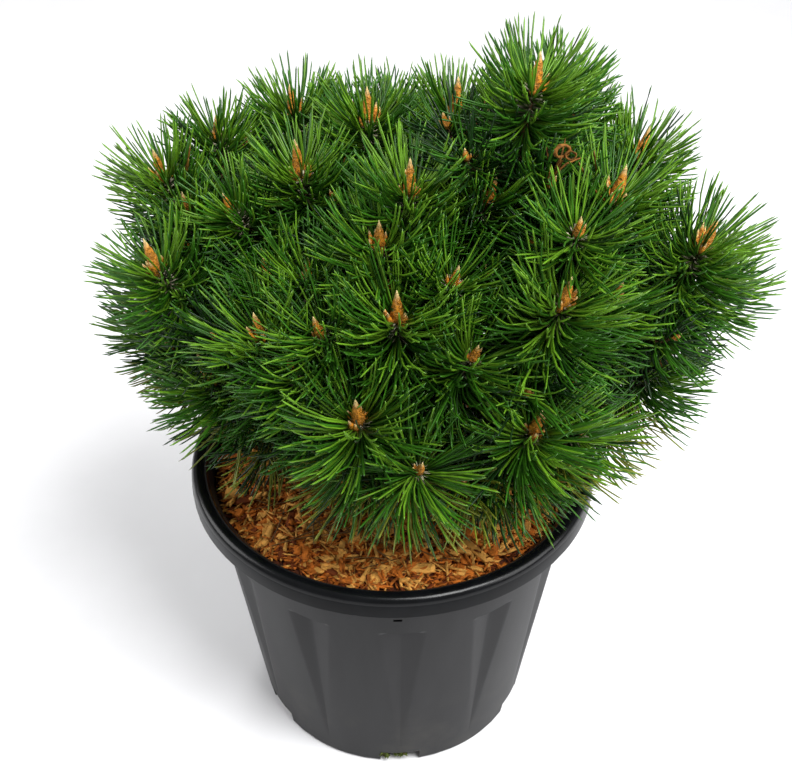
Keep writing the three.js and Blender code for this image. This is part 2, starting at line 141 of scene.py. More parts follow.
# Where the pairs grow on their shoot, how they gather towards its tip, and their pitch from it in degrees
# at the lowest and the highest pair, with how much that eases in and wanders
STAND = {
    "new": {"first": 0.46, "last": 1.0, "gather": 0.62, "pitch": (112, 40), "ease": 1.15, "wander": 0.13},
    "twig": {"first": 0.25, "last": 0.99, "gather": 0.8, "pitch": (100, 40), "ease": 1.15, "wander": 0.13},
    "old": {"first": 0.10, "last": 0.46, "gather": 1, "pitch": (112, 98), "ease": 1, "wander": 0.10},
}

# How a needle bends: its curl in radians, which is full at one pitch and never under a share of it, how
# much of it shows at the foot, how far the two of a pair open, and how the tips sag and wander
BENT = {"curl": 0.90, "spread": 0.26, "full_at": 1.8, "least": 0.3, "at_foot": 0.35,
        "opening": (0.03, 0.10), "opening_at_tip": 1.6, "sag": 0.08, "wander": 0.11}

# How light a pair's tint is: painted light on outer pairs and painted shade on inner ones by their distance
# from the crown's heart, lighter towards the shoot's tip where needles are youngest and most lit, darker on
# last year's pairs, and the chances that a low one is yellowing or that any is dead
LIGHT_AND_AGE = {"outward": 0.35, "distance": 0.17, "up": 0.28, "chance": 0.15, "old": 0.28, "least": 0.001,
         "low": 0.318, "yellowing": 0.55, "dead_old": 0.018, "dead": 0.001}

# What a dead pair and a yellowing one count as, under all green ones, and the span of each tint; the three
# green tints run from painted shade deep in the crown to painted light on its outside, besides the needles'
# age
DEAD = -2
OLIVE = -1
BANDS = {"dry": (DEAD - 1, DEAD), "olive": (DEAD, OLIVE), "deep": (0, 0.30), "green": (0.30, 0.60),
         "fresh": (0.60, 9)}

# The lowest level a needle may reach over the chips, over the lip and outside the pot, with the radius
# where the first two end, and how a needle that would reach lower is bent up
CLEAR = {"mouth": 0.137, "over_chips": 0.2295, "lip": 0.154, "over_lip": 0.2400, "outside": 0.218}
LIFT = {"tries": 5, "looked_at": (0.35, 0.7, 1.0), "start": 0.10, "end": 0.22}

# The parts of a shoot that its own needles and those of others are measured to
ROOM = {"own": (0.45, 1.0, 6), "others": (0.8, 1.0, 3)}
SHEATH = {"from": 0.5, "lengths": (0.004, 0.0075), "width": 1.25}
PIECE_TRIANGLES = 190000

# The buds round a bud's foot: how many, and their length, radius and distance from its middle beside it
SIDE_BUDS = {"leader": (4, 7), "others": (1, 4), "length": (0.32, 0.64), "radius": 0.60, "out": 0.92}

# The bed of chips: its waves, as in the source, its facets and its roughness
HEAP = {"height": 0.003, "ramp": 0.025}
BED = {"rings": 26, "columns": 120, "rough": ((160, 0.0016), (420, 0.0012)), "sink": 0.0016}

# What lies on the bed: the share of each shade, how high it may lie, the least and most of its length,
# width and depth, how far it tilts, and how far it keeps from the wall. The dark slivers lie lowest and the
# pale ones highest: partly wood of those colours, partly painted shade in the gaps and painted highlights
# on top
SLIVER = {"shares": {"orange": 0.48, "dark": 0.30, "pale": 0.22},
          "lift": {"orange": 0.0022, "dark": 0.0008, "pale": 0.0030},
          "sizes": ((0.0050, 0.0270), (0.0009, 0.0040), (0.0004, 0.0016)), "tilt": 0.24, "inset": 0}
CHIP = {"shares": {"orange": 0.50, "dark": 0.12, "pale": 0.38}, "lift": 0.0026,
        "sizes": ((0.0080, 0.027), (0.0026, 0.0080), (0.0010, 0.0030)), "tilt": 0.16, "inset": 0.006}
BLOCK = {"lift": 0.0035, "sizes": ((0.014, 0.034), (0.0050, 0.0098), (0.0016, 0.0036)), "tilt": 0.12,
         "inset": 0.008}
FALLEN = {"nearest": 0.03, "lift": 0.004, "lengths": (0.022, 0.042), "thickness": 0.0011}

# The roots and the moss in the front notch: colour, count, the least and most length, and thickness
STRANDS = {
    "notch_roots": ((84, 62, 24), 60, (0.003, 0.006), 0.0009),
    "notch_moss": ((84, 98, 22), 260, (0.0022, 0.0052), 0.0016),
}

# Sides and steps of each kind of limb, and how the bark stands out: its pitch, and its depth on the trunk
# and the boughs beside the setting, or on a shoot
FACETS = {"trunk": (20, 22), "twig": (6, 12), "shoot": (8, 22)}
BARK = {"pitch": 190, "trunk": 1.5, "bough": 0.6, "shoot_pitch": 420, "shoot": 0.0009, "shoot_width": 0.86}

# The soft lights: name, the setting of their watts, width and place
LIGHT_TARGET = (0, 0, 0.25)
LIGHTS = (
    ("key_light", "key", 1.0, (0.70, -0.75, 2.1)),
    ("right_light", "sides", 1.3, (1.75, -0.6, 1.35)),
    ("left_light", "sides", 1.3, (-1.9, 0.3, 1.35)),
    ("back_light", "back", 0.8, (0, 1.9, 1.8)),
)

# The camera, solved from the pot's outline and the buds' places
CAMERA = {"place": (0.0025, -0.687, 0.844), "tilt": math.radians(51.6), "lens": 55.3, "sensor": 36}


def paint(red, green, blue):
    """A colour as Blender keeps it, from the 0 to 255 of a picture."""
    return tuple(((part / 255 + 0.055) / 1.055) ** 2.4 if part > 10 else part / 255 / 12.92
                 for part in (red, green, blue))


def size(name, description, default):
    return FloatProperty(name=name, description=description, default=default, unit="LENGTH", precision=4)


def share(name, description, default):
    return FloatProperty(name=name, description=description, default=default, min=0)


def number(name, description, default):
    return IntProperty(name=name, description=description, default=default, min=0)


def tint(name, description, default):
    return FloatVectorProperty(name=name, description=description, default=default, subtype="COLOR",
                               min=0, max=1)


class PotSettings(bpy.types.PropertyGroup):
    height: size("Height", "From the floor to the top of the lip", 0.237)
    foot_radius: size("Foot radius", "Outside of the wall at the floor", 0.109)
    shoulder_radius: size("Shoulder radius", "Outside of the wall under the lip", 0.137)
    shoulder_height: size("Shoulder height", "Where the shoulder radius is measured", 0.222)
    wall: size("Wall", "Thickness of the wall", 0.0025)
    lip_radius: size("Lip radius", "Outside of the turned-down lip", 0.151)
    mouth_radius: size("Mouth radius", "Inside edge of the lip", 0.139)
    skirt: size("Skirt", "How far the lip turns down", 0.0165)
    plastic: tint("Plastic", "The wall's colour", paint(34, 34, 35))
    plastic_dark: tint("Dark plastic", "The cleaner lip's colour", paint(7, 8, 10))
    dust: tint("Dust", "Pale dust in the lower wall and on the ledges", paint(70, 68, 62))


class MulchSettings(bpy.types.PropertyGroup):
    radius: size("Radius", "Where the chips meet the pot's wall", 0.1338)
    depth: size("Depth", "Thickness of the layer", 0.0165)
    slivers: number("Slivers", "How many fine slivers", 6800)
    chips: number("Chips", "How many broad chips", 620)
    blocks: number("Blocks", "How many large pale pieces lie on top", 34)
    fallen: number("Fallen needles", "How many dry needles on the chips", 170)
    orange: tint("Orange wood", "Most of the slivers", paint(204, 114, 36))
    # Partly paler wood and partly painted highlight on the pieces that lie on top
    pale: tint("Pale wood", "Freshly broken wood", paint(236, 172, 84))
    # Partly darker wood and partly painted shade in the gaps, where the dark slivers lie lowest
    dark: tint("Dark wood", "Damp slivers and the gaps", paint(126, 58, 14))


class LimbSettings(bpy.types.PropertyGroup):
    sides: number("Sides", "Sides of a bough", 12)
    steps: number("Steps", "Rings along a bough", 16)
    relief: size("Relief", "How far the bark's scales stand out", 0.0011)
    bark: tint("Bark", "Bark of the trunk and boughs", paint(98, 74, 56))
    bark_dark: tint("Bark cracks", "Between the scales", paint(38, 27, 20))
    twig: tint("Twig", "Young bark of the shoots", paint(112, 84, 52))


class NeedleSettings(bpy.types.PropertyGroup):
    length: size("Length", "A needle of this year in the shade", 0.054)
    sunny_extra: size("Sunny extra", "How much longer a needle is on the side that faced the light", 0.018)
    thickness: size("Thickness", "Across a needle", 0.0015)
    leader_pairs: number("Leader pairs", "Pairs of needles on a leading shoot", 190)
    side_pairs: number("Side pairs", "Pairs of needles on a side shoot", 152)
    twig_pairs: number("Twig pairs", "Pairs of needles on an inner twig", 58)
    old_pairs: number("Old pairs", "Pairs of last year's needles lower on a shoot", 44)
    # The three green tints are partly the needles' age and partly lit and shaded copies of one green:
    # painted light on the outer needles and painted shade on the inner ones
    fresh: tint("Fresh", "Outer needles in the light", paint(100, 148, 30))
    green: tint("Green", "Most needles", paint(51, 104, 15))
    deep: tint("Deep", "Inner needles", paint(15, 52, 5))
    olive: tint("Olive", "Old needles that hang over the chips", paint(122, 132, 36))
    dry: tint("Dry", "The few dead needles", paint(132, 92, 34))
    sheath: tint("Sheath", "The papery foot of each pair", paint(176, 168, 142))


class BudSettings(bpy.types.PropertyGroup):
    length: size("Length", "The bud at the end of a leader", 0.0265)
    radius: size("Radius", "Half of its width", 0.0042)
    scales: tint("Scales", "The bud's middle", paint(206, 134, 36))
    foot: tint("Foot", "The bud's foot", paint(126, 94, 28))
    tip: tint("Tip", "The pale resin tip", paint(240, 218, 156))


class StageSettings(bpy.types.PropertyGroup):
    floor: tint("Floor", "The pale floor", paint(238, 238, 240))
    sky: share("Sky", "Strength of the white surroundings", 0.31)
    key: share("Key light", "Watts of the large soft light over the front", 61)
    sides: share("Side lights", "Watts of each of the two lights beside the plant", 27)
    back: share("Back light", "Watts of the soft light behind the plant, which the lip mirrors", 17)


SETTINGS = {"pine_pot": PotSettings, "pine_mulch": MulchSettings, "pine_limbs": LimbSettings,
            "pine_needles": NeedleSettings, "pine_buds": BudSettings, "pine_stage": StageSettings}


# Materials

def add_node(tree, kind, **inputs):
    """A node whose named inputs are set."""
    made = tree.nodes.new(kind)
    for name, value in inputs.items():
        made.inputs[name.replace("_", " ")].default_value = value
    return made


def make_group(name, inputs, outputs):
    """An empty node group with its sockets, and its two ends."""
    group = bpy.data.node_groups.new(name, "ShaderNodeTree")
    for title, kind, value in inputs:
        made = group.interface.new_socket(title, in_out="INPUT", socket_type="NodeSocket" + kind)
        if value is not None:
            made.default_value = value
    for title, kind in outputs:
        group.interface.new_socket(title, in_out="OUTPUT", socket_type="NodeSocket" + kind)
    return group, group.nodes.new("NodeGroupInput"), group.nodes.new("NodeGroupOutput")


def join(group, *rows):
    """Links a group's nodes, from (node, output, node, input) rows."""
    for start, output, end, entry in rows:
        group.links.new(start.outputs[output], end.inputs[entry])


def two_tone_group():
    """Mixes two colours in soft patches, and puts out the patches as a mask too."""
    group, given, result = make_group(
        "Two tones",
        [("Vector", "Vector", None), ("Scale", "Float", 50), ("Low", "Float", 0.4), ("High", "Float", 0.6),
         ("Dark", "Color", (0, 0, 0, 1)), ("Light", "Color", (1, 1, 1, 1))],
        [("Color", "Color"), ("Mask", "Float")])
    patches = add_node(group, "ShaderNodeTexNoise", Detail=4, Roughness=0.6)
    spread = add_node(group, "ShaderNodeMapRange")
    mix = group.nodes.new("ShaderNodeMix")
    mix.data_type = "RGBA"
    join(group, (given, "Vector", patches, "Vector"), (given, "Scale", patches, "Scale"),
         (patches, "Fac", spread, "Value"), (given, "Low", spread, "From Min"),
         (given, "High", spread, "From Max"), (spread, "Result", mix, "Factor"),
         (given, "Dark", mix, "A"), (given, "Light", mix, "B"),
         (mix, "Result", result, "Color"), (spread, "Result", result, "Mask"))
    return group


def grain_group():
    """The height of a fine uneven grain."""
    group, given, result = make_group(
        "Fine grain", [("Vector", "Vector", None), ("Scale", "Float", 300)], [("Height", "Float")])
    grain = add_node(group, "ShaderNodeTexNoise", Detail=3, Roughness=0.55)
    join(group, (given, "Vector", grain, "Vector"), (given, "Scale", grain, "Scale"),
         (grain, "Fac", result, "Height"))
    return group


def shared_group(name):
    makers = {"Two tones": two_tone_group, "Fine grain": grain_group}
    return bpy.data.node_groups.get(name) or makers[name]()


class Finish:
    """A material under way: its shader, the object's coordinates and the shared groups."""

    def __init__(self, name, roughness, specular=0.5):
        self.material = bpy.data.materials.new(name)
        self.material.use_nodes = True
        self.tree = self.material.node_tree
        self.shader = self.tree.nodes["Principled BSDF"]
        self.shader.inputs["Roughness"].default_value = roughness
        self.shader.inputs["Specular IOR Level"].default_value = specular
        self.place = self.tree.nodes.new("ShaderNodeTexCoord").outputs["Object"]

    def link(self, start, end):
        self.tree.links.new(start, end)

    def stretched(self, along):
        """The coordinates scaled on each axis, so that patches grow long where the scale is small."""
        mapping = add_node(self.tree, "ShaderNodeMapping", Scale=along)
        self.link(self.place, mapping.inputs["Vector"])
        return mapping.outputs["Vector"]

    def group(self, name, vector, **values):
        made = self.tree.nodes.new("ShaderNodeGroup")
        made.node_tree = shared_group(name)
        self.link(vector, made.inputs["Vector"])
        for title, value in values.items():
            made.inputs[title].default_value = value
        return made

    def tones(self, dark, light, scale, low=0.4, high=0.6, vector=None):
        return self.group("Two tones", vector or self.place, Scale=scale, Low=low, High=high,
                          Dark=(*dark, 1), Light=(*light, 1))

    def mixed(self, factor, first, second):
        """One colour over another by a factor; each may be a colour or a node's output."""
        mix = self.tree.nodes.new("ShaderNodeMix")
        mix.data_type = "RGBA"
        self.link(factor, mix.inputs["Factor"])
        for title, colour in (("A", first), ("B", second)):
            if isinstance(colour, bpy.types.NodeSocket):
                self.link(colour, mix.inputs[title])
            else:
                mix.inputs[title].default_value = (*colour, 1)
        return mix.outputs["Result"]

    def ranged(self, value, start, end, low=0.0, high=1.0):
        """A value moved from one range to another and held inside it."""
        made = add_node(self.tree, "ShaderNodeMapRange", From_Min=start, From_Max=end, To_Min=low,
                        To_Max=high)
        self.link(value, made.inputs["Value"])
        return made.outputs["Result"]

    def relief(self, height, distance, strength=1.0):
        bump = add_node(self.tree, "ShaderNodeBump", Strength=strength, Distance=distance)
        self.link(height, bump.inputs["Height"])
        self.link(bump.outputs["Normal"], self.shader.inputs["Normal"])

    def grain(self, scale, distance, strength=1.0):
        self.relief(self.group("Fine grain", self.place, Scale=scale).outputs["Height"], distance, strength)

    def colour(self, output):
        self.link(output, self.shader.inputs["Base Color"])


def darker(colour, by):
    return tuple(part * by for part in colour)


def plain_finish(name, colour, dark_share, scale, roughness, grain_scale=None, grain_depth=0.0,
                 specular=0.5):
    """A finish whose colour drifts towards a darker one in patches, with a grain where one is asked for."""
    finish = Finish(name, roughness, specular)
    finish.colour(finish.tones(darker(colour, dark_share), colour, scale).outputs["Color"])
    if grain_scale:
        finish.grain(grain_scale, grain_depth)
    return finish.material


def lip_plastic(name, pot, roughness, specular):
    """The clean plastic of the lip, glossy where it is handled and duller on its skirt."""
    finish = Finish(name, roughness, specular)
    patches = finish.tones(darker(pot.plastic_dark, 0.8), darker(pot.plastic_dark, 1.4), 60)
    finish.colour(patches.outputs["Color"])
    finish.grain(900, 0.0001, 0.4)
    return finish.material


def wall_plastic(pot):
    """Dull moulded plastic with faint streaks, and dusty at the foot."""
    finish = Finish("wall_plastic", 0.46, 0.14)
    streaks = finish.tones(darker(pot.plastic, 0.82), darker(pot.plastic, 1.18), 40, 0.35, 0.65,
                           finish.stretched((1, 1, 0.12)))
    height = finish.tree.nodes.new("ShaderNodeSeparateXYZ")
    finish.link(finish.place, height.inputs["Vector"])
    foot = finish.ranged(height.outputs["Z"], 0.09, 0.0, 0.0, 0.55)
    smears = finish.tones((0, 0, 0), (1, 1, 1), 22, 0.5, 0.72)
    dusty = finish.tree.nodes.new("ShaderNodeMath")
    dusty.operation = "MULTIPLY"
    finish.link(foot, dusty.inputs[0])
    finish.link(smears.outputs["Mask"], dusty.inputs[1])
    finish.colour(finish.mixed(dusty.outputs["Value"], streaks.outputs["Color"], pot.dust))
    finish.grain(900, 0.00012, 0.5)
    return finish.material


def bud_scales(buds):
    """Papery scales: brown at the foot, orange in the middle and pale with resin at the tip."""
    finish = Finish("bud_scales", 0.48)
    along = finish.tree.nodes.new("ShaderNodeAttribute")
    along.attribute_name = "along"
    middle = finish.tones(darker(buds.scales, 0.55), darker(buds.scales, 1.1), 460, 0.40, 0.56)
    up = along.outputs["Fac"]
    lower = finish.mixed(finish.ranged(up, 0.34, 0.02), middle.outputs["Color"], buds.foot)
    finish.colour(finish.mixed(finish.ranged(up, 0.72, 1.0), lower, buds.tip))
    finish.relief(middle.outputs["Mask"], 0.0006)
    return finish.material


# Making and placing pieces

def finished(piece, material, nodes):
    """Gives a piece its material, and says what it rides on and which nodes it stands for."""
    piece.data.materials.clear()
    piece.data.materials.append(material)
    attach(piece, "root")
    if nodes:
        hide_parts(*nodes)
    return piece


def placed(name, data):
    """An object of a mesh, light or camera, linked into the scene."""
    made = bpy.data.objects.new(name, data)
    bpy.context.scene.collection.objects.link(made)
    return made


def piece_from(name, form, smooth=True):
    """Makes a named object of a bmesh and frees it."""
    mesh = bpy.data.meshes.new(name)
    bmesh.ops.recalc_face_normals(form, faces=form.faces)
    form.to_mesh(mesh)
    form.free()
    mesh.polygons.foreach_set("use_smooth", [smooth] * len(mesh.polygons))
    return placed(name, mesh)


def turned(profile, columns):
    """A closed form turned round the upright axis from (radius, height) points that start and end on it."""
    form = bmesh.new()
    corners = [form.verts.new((radius, 0, height)) for radius, height in profile]
    edges = [form.edges.new(pair) for pair in zip(corners, corners[1:])]
    bmesh.ops.spin(form, geom=corners + edges, cent=(0, 0, 0), axis=(0, 0, 1), angle=FULL_TURN,
                   steps=columns, use_merge=True)
    bmesh.ops.remove_doubles(form, verts=form.verts, dist=1e-6)
    return form


class UnitForm:
    """A small shape one unit long, ready to be copied many times: its corners and its faces."""

    def __init__(self, form):
        bmesh.ops.recalc_face_normals(form, faces=form.faces)
        form.verts.ensure_lookup_table()
        form.verts.index_update()
        self.corners = np.array([corner.co for corner in form.verts])
        self.faces = [[corner.index for corner in face.verts] for face in form.faces]
        form.free()


def joined_copies(name, unit, points, attribute=None):
    """One mesh of all the copies, from points[copy][corner]. An attribute keeps each corner's height."""
    copies, corners = points.shape[:2]
    loops = np.concatenate([np.array(face) for face in unit.faces])
    sizes = np.array([len(face) for face in unit.faces])
    offsets = np.arange(copies)[:, None] * corners
    mesh = bpy.data.meshes.new(name)
    mesh.vertices.add(copies * corners)
    mesh.vertices.foreach_set("co", points.astype(np.float32).ravel())
    mesh.loops.add(copies * len(loops))
    mesh.loops.foreach_set("vertex_index", (offsets + loops).astype(np.int32).ravel())
    starts = np.concatenate([[0], np.cumsum(np.tile(sizes, copies))[:-1]])
    mesh.polygons.add(len(starts))
    mesh.polygons.foreach_set("loop_start", starts.astype(np.int32))
    mesh.polygons.foreach_set("use_smooth", np.ones(len(starts), bool))
    if attribute:
        kept = mesh.attributes.new(attribute, "FLOAT", "POINT")
        kept.data.foreach_set("value", np.tile(unit.corners[:, 2], copies).astype(np.float32))
    mesh.update(calc_edges=True)
    return placed(name, mesh)


def unit_rows(vectors):
    return vectors / np.linalg.norm(vectors, axis=-1, keepdims=True)


def compass_rows(bearings, rise):
    """Directions at these bearings that rise by so much."""
    return unit_rows(np.stack([np.cos(bearings), np.sin(bearings), rise], 1))


def lerp(start, end, at):
    return start + (end - start) * at


def bent_copies(unit, bases, starts, ends, lengths, thickness, rolls):
    """Copies laid along arcs, which leave their bases along the starts and arrive along the ends."""
    at = unit.corners[:, 2][None, :, None]
    reach = lengths[:, None, None]
    turn = ends - starts
    centres = bases[:, None] + reach * (starts[:, None] * at + turn[:, None] * at * at / 2)
    along = unit_rows(starts[:, None] + turn[:, None] * at)
    reference = np.where(np.abs(along[..., 2:]) < 0.9, [[[0.0, 0.0, 1.0]]], [[[1.0, 0.0, 0.0]]])
    across = unit_rows(np.cross(reference, along))
    side = np.cross(along, across)
    x, y = unit.corners[:, 0][None, :], unit.corners[:, 1][None, :]
    cosine, sine = np.cos(rolls)[:, None], np.sin(rolls)[:, None]
    half = thickness[:, None] / 2
    return (centres + across * (half * (x * cosine - y * sine))[..., None]
            + side * (half * (x * sine + y * cosine))[..., None])


def rolled_copies(unit, rows, thickness, rng):
    """Copies from rows of base, start, end and length, each rolled about itself by chance."""
    return bent_copies(unit, rows[:, 0:3], rows[:, 3:6], rows[:, 6:9], rows[:, 9], thickness,
                       rng.uniform(0, FULL_TURN, len(rows)))


# Unit forms

def needle_form():
    """Three-sided, a little slimmer at its foot and drawn out to a point."""
    form = bmesh.new()
    bmesh.ops.create_cone(form, cap_ends=True, segments=3, radius1=1, radius2=0, depth=1,
                          matrix=Matrix.Translation((0, 0, 0.5)))
    for height in (0.33, 0.66, 0.93):
        bmesh.ops.bisect_plane(form, geom=form.verts[:] + form.edges[:] + form.faces[:],
                               plane_co=(0, 0, height), plane_no=(0, 0, 1))
    bmesh.ops.remove_doubles(form, verts=form.verts, dist=1e-5)
    for corner in form.verts:
        left = 1 - corner.co.z
        if left > 0.01:
            belly = min(1, 0.75 + corner.co.z) * min(1, 0.6 + left * 3) / left
            corner.co.xy *= belly
    return UnitForm(form)


def sheath_form():
    form = bmesh.new()
    bmesh.ops.create_cone(form, cap_ends=True, segments=3, radius1=1, radius2=0.8, depth=1,
                          matrix=Matrix.Translation((0, 0, 0.5)))
    return UnitForm(form)


def bud_form(sides, rings):
    """A bud turned from its outline, with its rings pulled in and out in a spiral as its scales are."""
    outline = [(0.0, 0.0)]
    for step in range(rings + 1):
        height = 0.02 + 0.94 * step / rings
        fullness = min(1, 0.7 + 1.3 * height) * (1 - height ** 1.8) ** 0.9
        outline.append((fullness, height))
    outline.append((0.0, 1.0))
    form = turned(outline, sides)
    for corner in form.verts:
        bearing = math.atan2(corner.co.y, corner.co.x) / FULL_TURN
        scale = (corner.co.z * 5 + bearing * 3) % 1
        corner.co.xy *= 1 + 0.26 * (scale - 0.5)
    return UnitForm(form)


def sliver_form():
    """A split of wood: a bar with one end drawn in and both ends cut askew."""
    form = bmesh.new()
    bmesh.ops.create_cube(form, size=1)
    for corner in form.verts:
        corner.co.y *= 0.55 if corner.co.x > 0 else 1
        corner.co.x += 0.12 * corner.co.y + 0.1 * corner.co.z
    return UnitForm(form)


def chip_form():
    """A flat chip with worn edges."""
    form = bmesh.new()
    bmesh.ops.create_cube(form, size=1)
    bmesh.ops.bevel(form, geom=form.edges[:], offset=0.14, affect="EDGES", segments=1, profile=0.5,
                    material=-1)
    return UnitForm(form)


# The pot

def wall_radius(pot, height):
    slope = (pot.shoulder_radius - pot.foot_radius) / pot.shoulder_height
    return pot.foot_radius + slope * height


def flute_growth(height):
    return min(1, max(0, (height - FLUTE["foot"]) / (FLUTE["top"] - FLUTE["foot"])))


def flute_depth(offset, radius, height):
    """How deep a flute is at an angle from its middle, with its valley and edges rounded a little."""
    if height >= FLUTE["top"] + FLUTE["ledge"]:
        return 0
    ledge = min(1, (FLUTE["top"] + FLUTE["ledge"] - height) / FLUTE["ledge"])
    growth = flute_growth(height)
    reach = FLUTE["half_width"] * growth
    if reach < 1e-5:
        return 0
    away = math.sqrt((offset * radius / reach) ** 2 + 0.008)
    return FLUTE["depth"] * growth * ledge * max(0, 1 - away)


def fluted(form):
    """Gathers the turned columns round each flute's edges, and sinks the flutes into the wall."""
    per_flute = 2 * (len(FLUTE_COLUMNS) - 1)
    step = FULL_TURN / (FLUTE["count"] * per_flute)
    for corner in form.verts:
        radius = corner.co.xy.length
        if radius < 1e-4:
            continue
        column = round(math.atan2(corner.co.y, corner.co.x) / step)
        flute, place = divmod(column + per_flute // 2, per_flute)
        place -= per_flute // 2
        height = corner.co.z
        edge = max(FLUTE["half_width"] * flute_growth(height), FLUTE["narrowest"]) / radius
        spread = FLUTE_COLUMNS[abs(place)]
        land = (spread - 1) / (FLUTE_COLUMNS[-1] - 1)
        half_pitch = math.pi / FLUTE["count"]
        offset = edge * spread if spread <= 1 else edge + (half_pitch - edge) * land
        offset = math.copysign(offset, place)
        bearing = FLUTE["first"] + flute * FULL_TURN / FLUTE["count"] + offset
        radius -= flute_depth(offset, radius, height)
        corner.co.xy = (radius * math.cos(bearing), radius * math.sin(bearing))


def pot_profile(pot):
    """The pot's section: underside, wall, rounded lip with its turned-down skirt, and the inside."""
    top, edge, mouth, skirt = pot.height, pot.lip_radius, pot.mouth_radius, pot.height - pot.skirt
    points = [(0, 0.0012), (0.060, 0.0012), (0.064, 0.0), (pot.foot_radius - 0.002, 0.0),
              (pot.foot_radius - 0.0006, 0.0006), (wall_radius(pot, 0.0018), 0.0018)]
    points += [(wall_radius(pot, height), height) for height in WALL_HEIGHTS]
    points.append((mouth + 0.0015, top - 0.003))
    points += [(edge - inward, top - down) for inward, down in UNDER_LIP]
    points += [(edge - 0.0022, skirt + 0.0004), (edge - 0.0018, skirt), (edge - 0.0004, skirt),
               (edge, skirt + 0.0005)]
    points += [(edge - inward, top - down) for inward, down in OVER_LIP]
    points += [(mouth + outward, top - down) for outward, down in INTO_MOUTH]
    points += [(wall_radius(pot, height) - pot.wall, height) for height in reversed(WALL_HEIGHTS)]
    points += [(wall_radius(pot, 0.003) - pot.wall, 0.0030), (0, 0.0030)]
    return points


def blocks(places):
    """Loose boxes in one mesh, from (centre, sizes, bearing) rows; a box faces along its bearing."""
    form = bmesh.new()
    for centre, sizes, bearing in places:
        turn = Matrix.Rotation(bearing, 4, "Z")
        matrix = turn @ Matrix.Translation(centre) @ Matrix.Diagonal((*sizes, 1))
        bmesh.ops.create_cube(form, size=1, matrix=matrix)
    return form


def pot_cutter(pot):
    """The drain notches at every other flute, and the slot under the lip."""
    rows = []
    notch = (NOTCH["depth"], NOTCH["width"], 2 * NOTCH["height"])
    for index in range(0, FLUTE["count"], NOTCH["every"]):
        bearing = FLUTE["first"] + index * FULL_TURN / FLUTE["count"]
        rows.append(((NOTCH["middle"], 0, 0), notch, bearing))
    radius = wall_radius(pot, SLOT["z"])
    bearing = math.atan2(-radius, SLOT["x"])
    rows.append(((radius, 0, SLOT["z"]), (SLOT["depth"], SLOT["width"], SLOT["height"]), bearing))
    return piece_from("pot_cutter", blocks(rows), smooth=False)


def cut_away(piece, cutter):
    """Takes the cutter out of a piece with an exact Boolean, and applies it."""
    cut = piece.modifiers.new("Cut", "BOOLEAN")
    cut.operation = "DIFFERENCE"
    cut.solver = "EXACT"
    cut.object = cutter
    depsgraph = bpy.context.evaluated_depsgraph_get()
    whole = bpy.data.meshes.new_from_object(piece.evaluated_get(depsgraph))
    piece.modifiers.clear()
    piece.data = whole
    bpy.data.objects.remove(cutter)
    if not whole.polygons:
        raise RuntimeError("the pot vanished when its notches were cut")


def notch_strands(rng, count, lengths):
    """Strands that hang in the front notch: where each starts, how it leaves and ends, and its length."""
    clump = rng.choice((0.02, -0.44), count, p=(0.72, 0.28))
    x = NOTCH["width"] * (clump + rng.normal(0, 0.07, count))
    depth = rng.uniform(-0.006, 0.0002, count)
    outward = np.array([math.cos(FLUTE["first"]), math.sin(FLUTE["first"]), 0.0])
    aside = np.array([-outward[1], outward[0], 0.0])
    height = NOTCH["height"] * rng.uniform(0.55, 0.98, count)
    bases = outward * (0.1075 + depth)[:, None] + aside * x[:, None] + UP_ROW * height[:, None]
    starts = unit_rows(rng.normal(0, 0.5, (count, 3)) - UP_ROW * 0.7 + outward * 0.15)
    ends = unit_rows(starts + rng.normal(0, 0.6, (count, 3)))
    length = rng.uniform(*lengths, count)
    room = np.maximum(bases[:, 2] - 0.001, 0.001)
    return bases, starts, ends, np.minimum(length, room / np.maximum(0.2, -starts[:, 2]))


class PINE_OT_pot(bpy.types.Operator):
    """Builds the fluted pot with its lip, notches and slot, and gives the soil its finish"""
    bl_idname = "pine.pot"
    bl_label = "Pot"

    def execute(self, context):
        pot = context.scene.pine_pot
        columns = FLUTE["count"] * 2 * (len(FLUTE_COLUMNS) - 1)
        form = turned(pot_profile(pot), columns)
        fluted(form)
        piece = piece_from("fluted_pot", form)
        cut_away(piece, pot_cutter(pot))
        piece.data.polygons.foreach_set("use_smooth", [True] * len(piece.data.polygons))
        piece.data.set_sharp_from_angle(angle=math.radians(38))
        finished(piece, wall_plastic(pot), ["pot"])
        piece.data.materials.append(lip_plastic("skirt_plastic", pot, 0.3, 0.10))
        piece.data.materials.append(lip_plastic("lip_plastic", pot, 0.24, 0.24))
        for face in piece.data.polygons:
            outside = face.center.xy.length > pot.mouth_radius - 0.001
            on_lip = outside and face.center.z > pot.height - pot.skirt - 0.001
            face.material_index = (2 if face.normal.z > 0.12 else 1) if on_lip else 0
        soil = plain_finish("soil", paint(62, 44, 32), 0.35, 90, 0.95, 380, 0.002)
        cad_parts["substrate"].material_slots[0].material = soil
        self.roots()
        return {"FINISHED"}

    def roots(self):
        """A few roots and a little moss where the soil shows in the front notch."""
        rng = np.random.default_rng(3)
        unit = needle_form()
        for name, (colour, count, lengths, thickness) in STRANDS.items():
            strands = notch_strands(rng, count, lengths)
            points = bent_copies(unit, *strands, np.full(count, thickness), np.zeros(count))
            points[..., 2] = np.maximum(points[..., 2], GAP)
            material = plain_finish(name, paint(*colour), 0.5, 400, 0.9)
            finished(joined_copies(name, unit, points), material, [])


# The mulch

def heap_height(x, y):
    """The height of the chips over their level, as in the source."""
    away = np.clip((np.hypot(x, y) - SEAT_RADIUS) / HEAP["ramp"], 0, 1)
    waves = np.sin(x * 51 + 1.3) * np.cos(y * 43 - 0.4) + 0.4 * np.sin((x - y) * 60)
    return HEAP["height"] * away * waves


def scattered(rng, count, nearest, farthest):
    """Even random places on the ring between two radii."""
    radius = np.sqrt(rng.uniform(nearest ** 2, farthest ** 2, count))
    bearing = rng.uniform(0, FULL_TURN, count)
    return radius * np.cos(bearing), radius * np.sin(bearing)


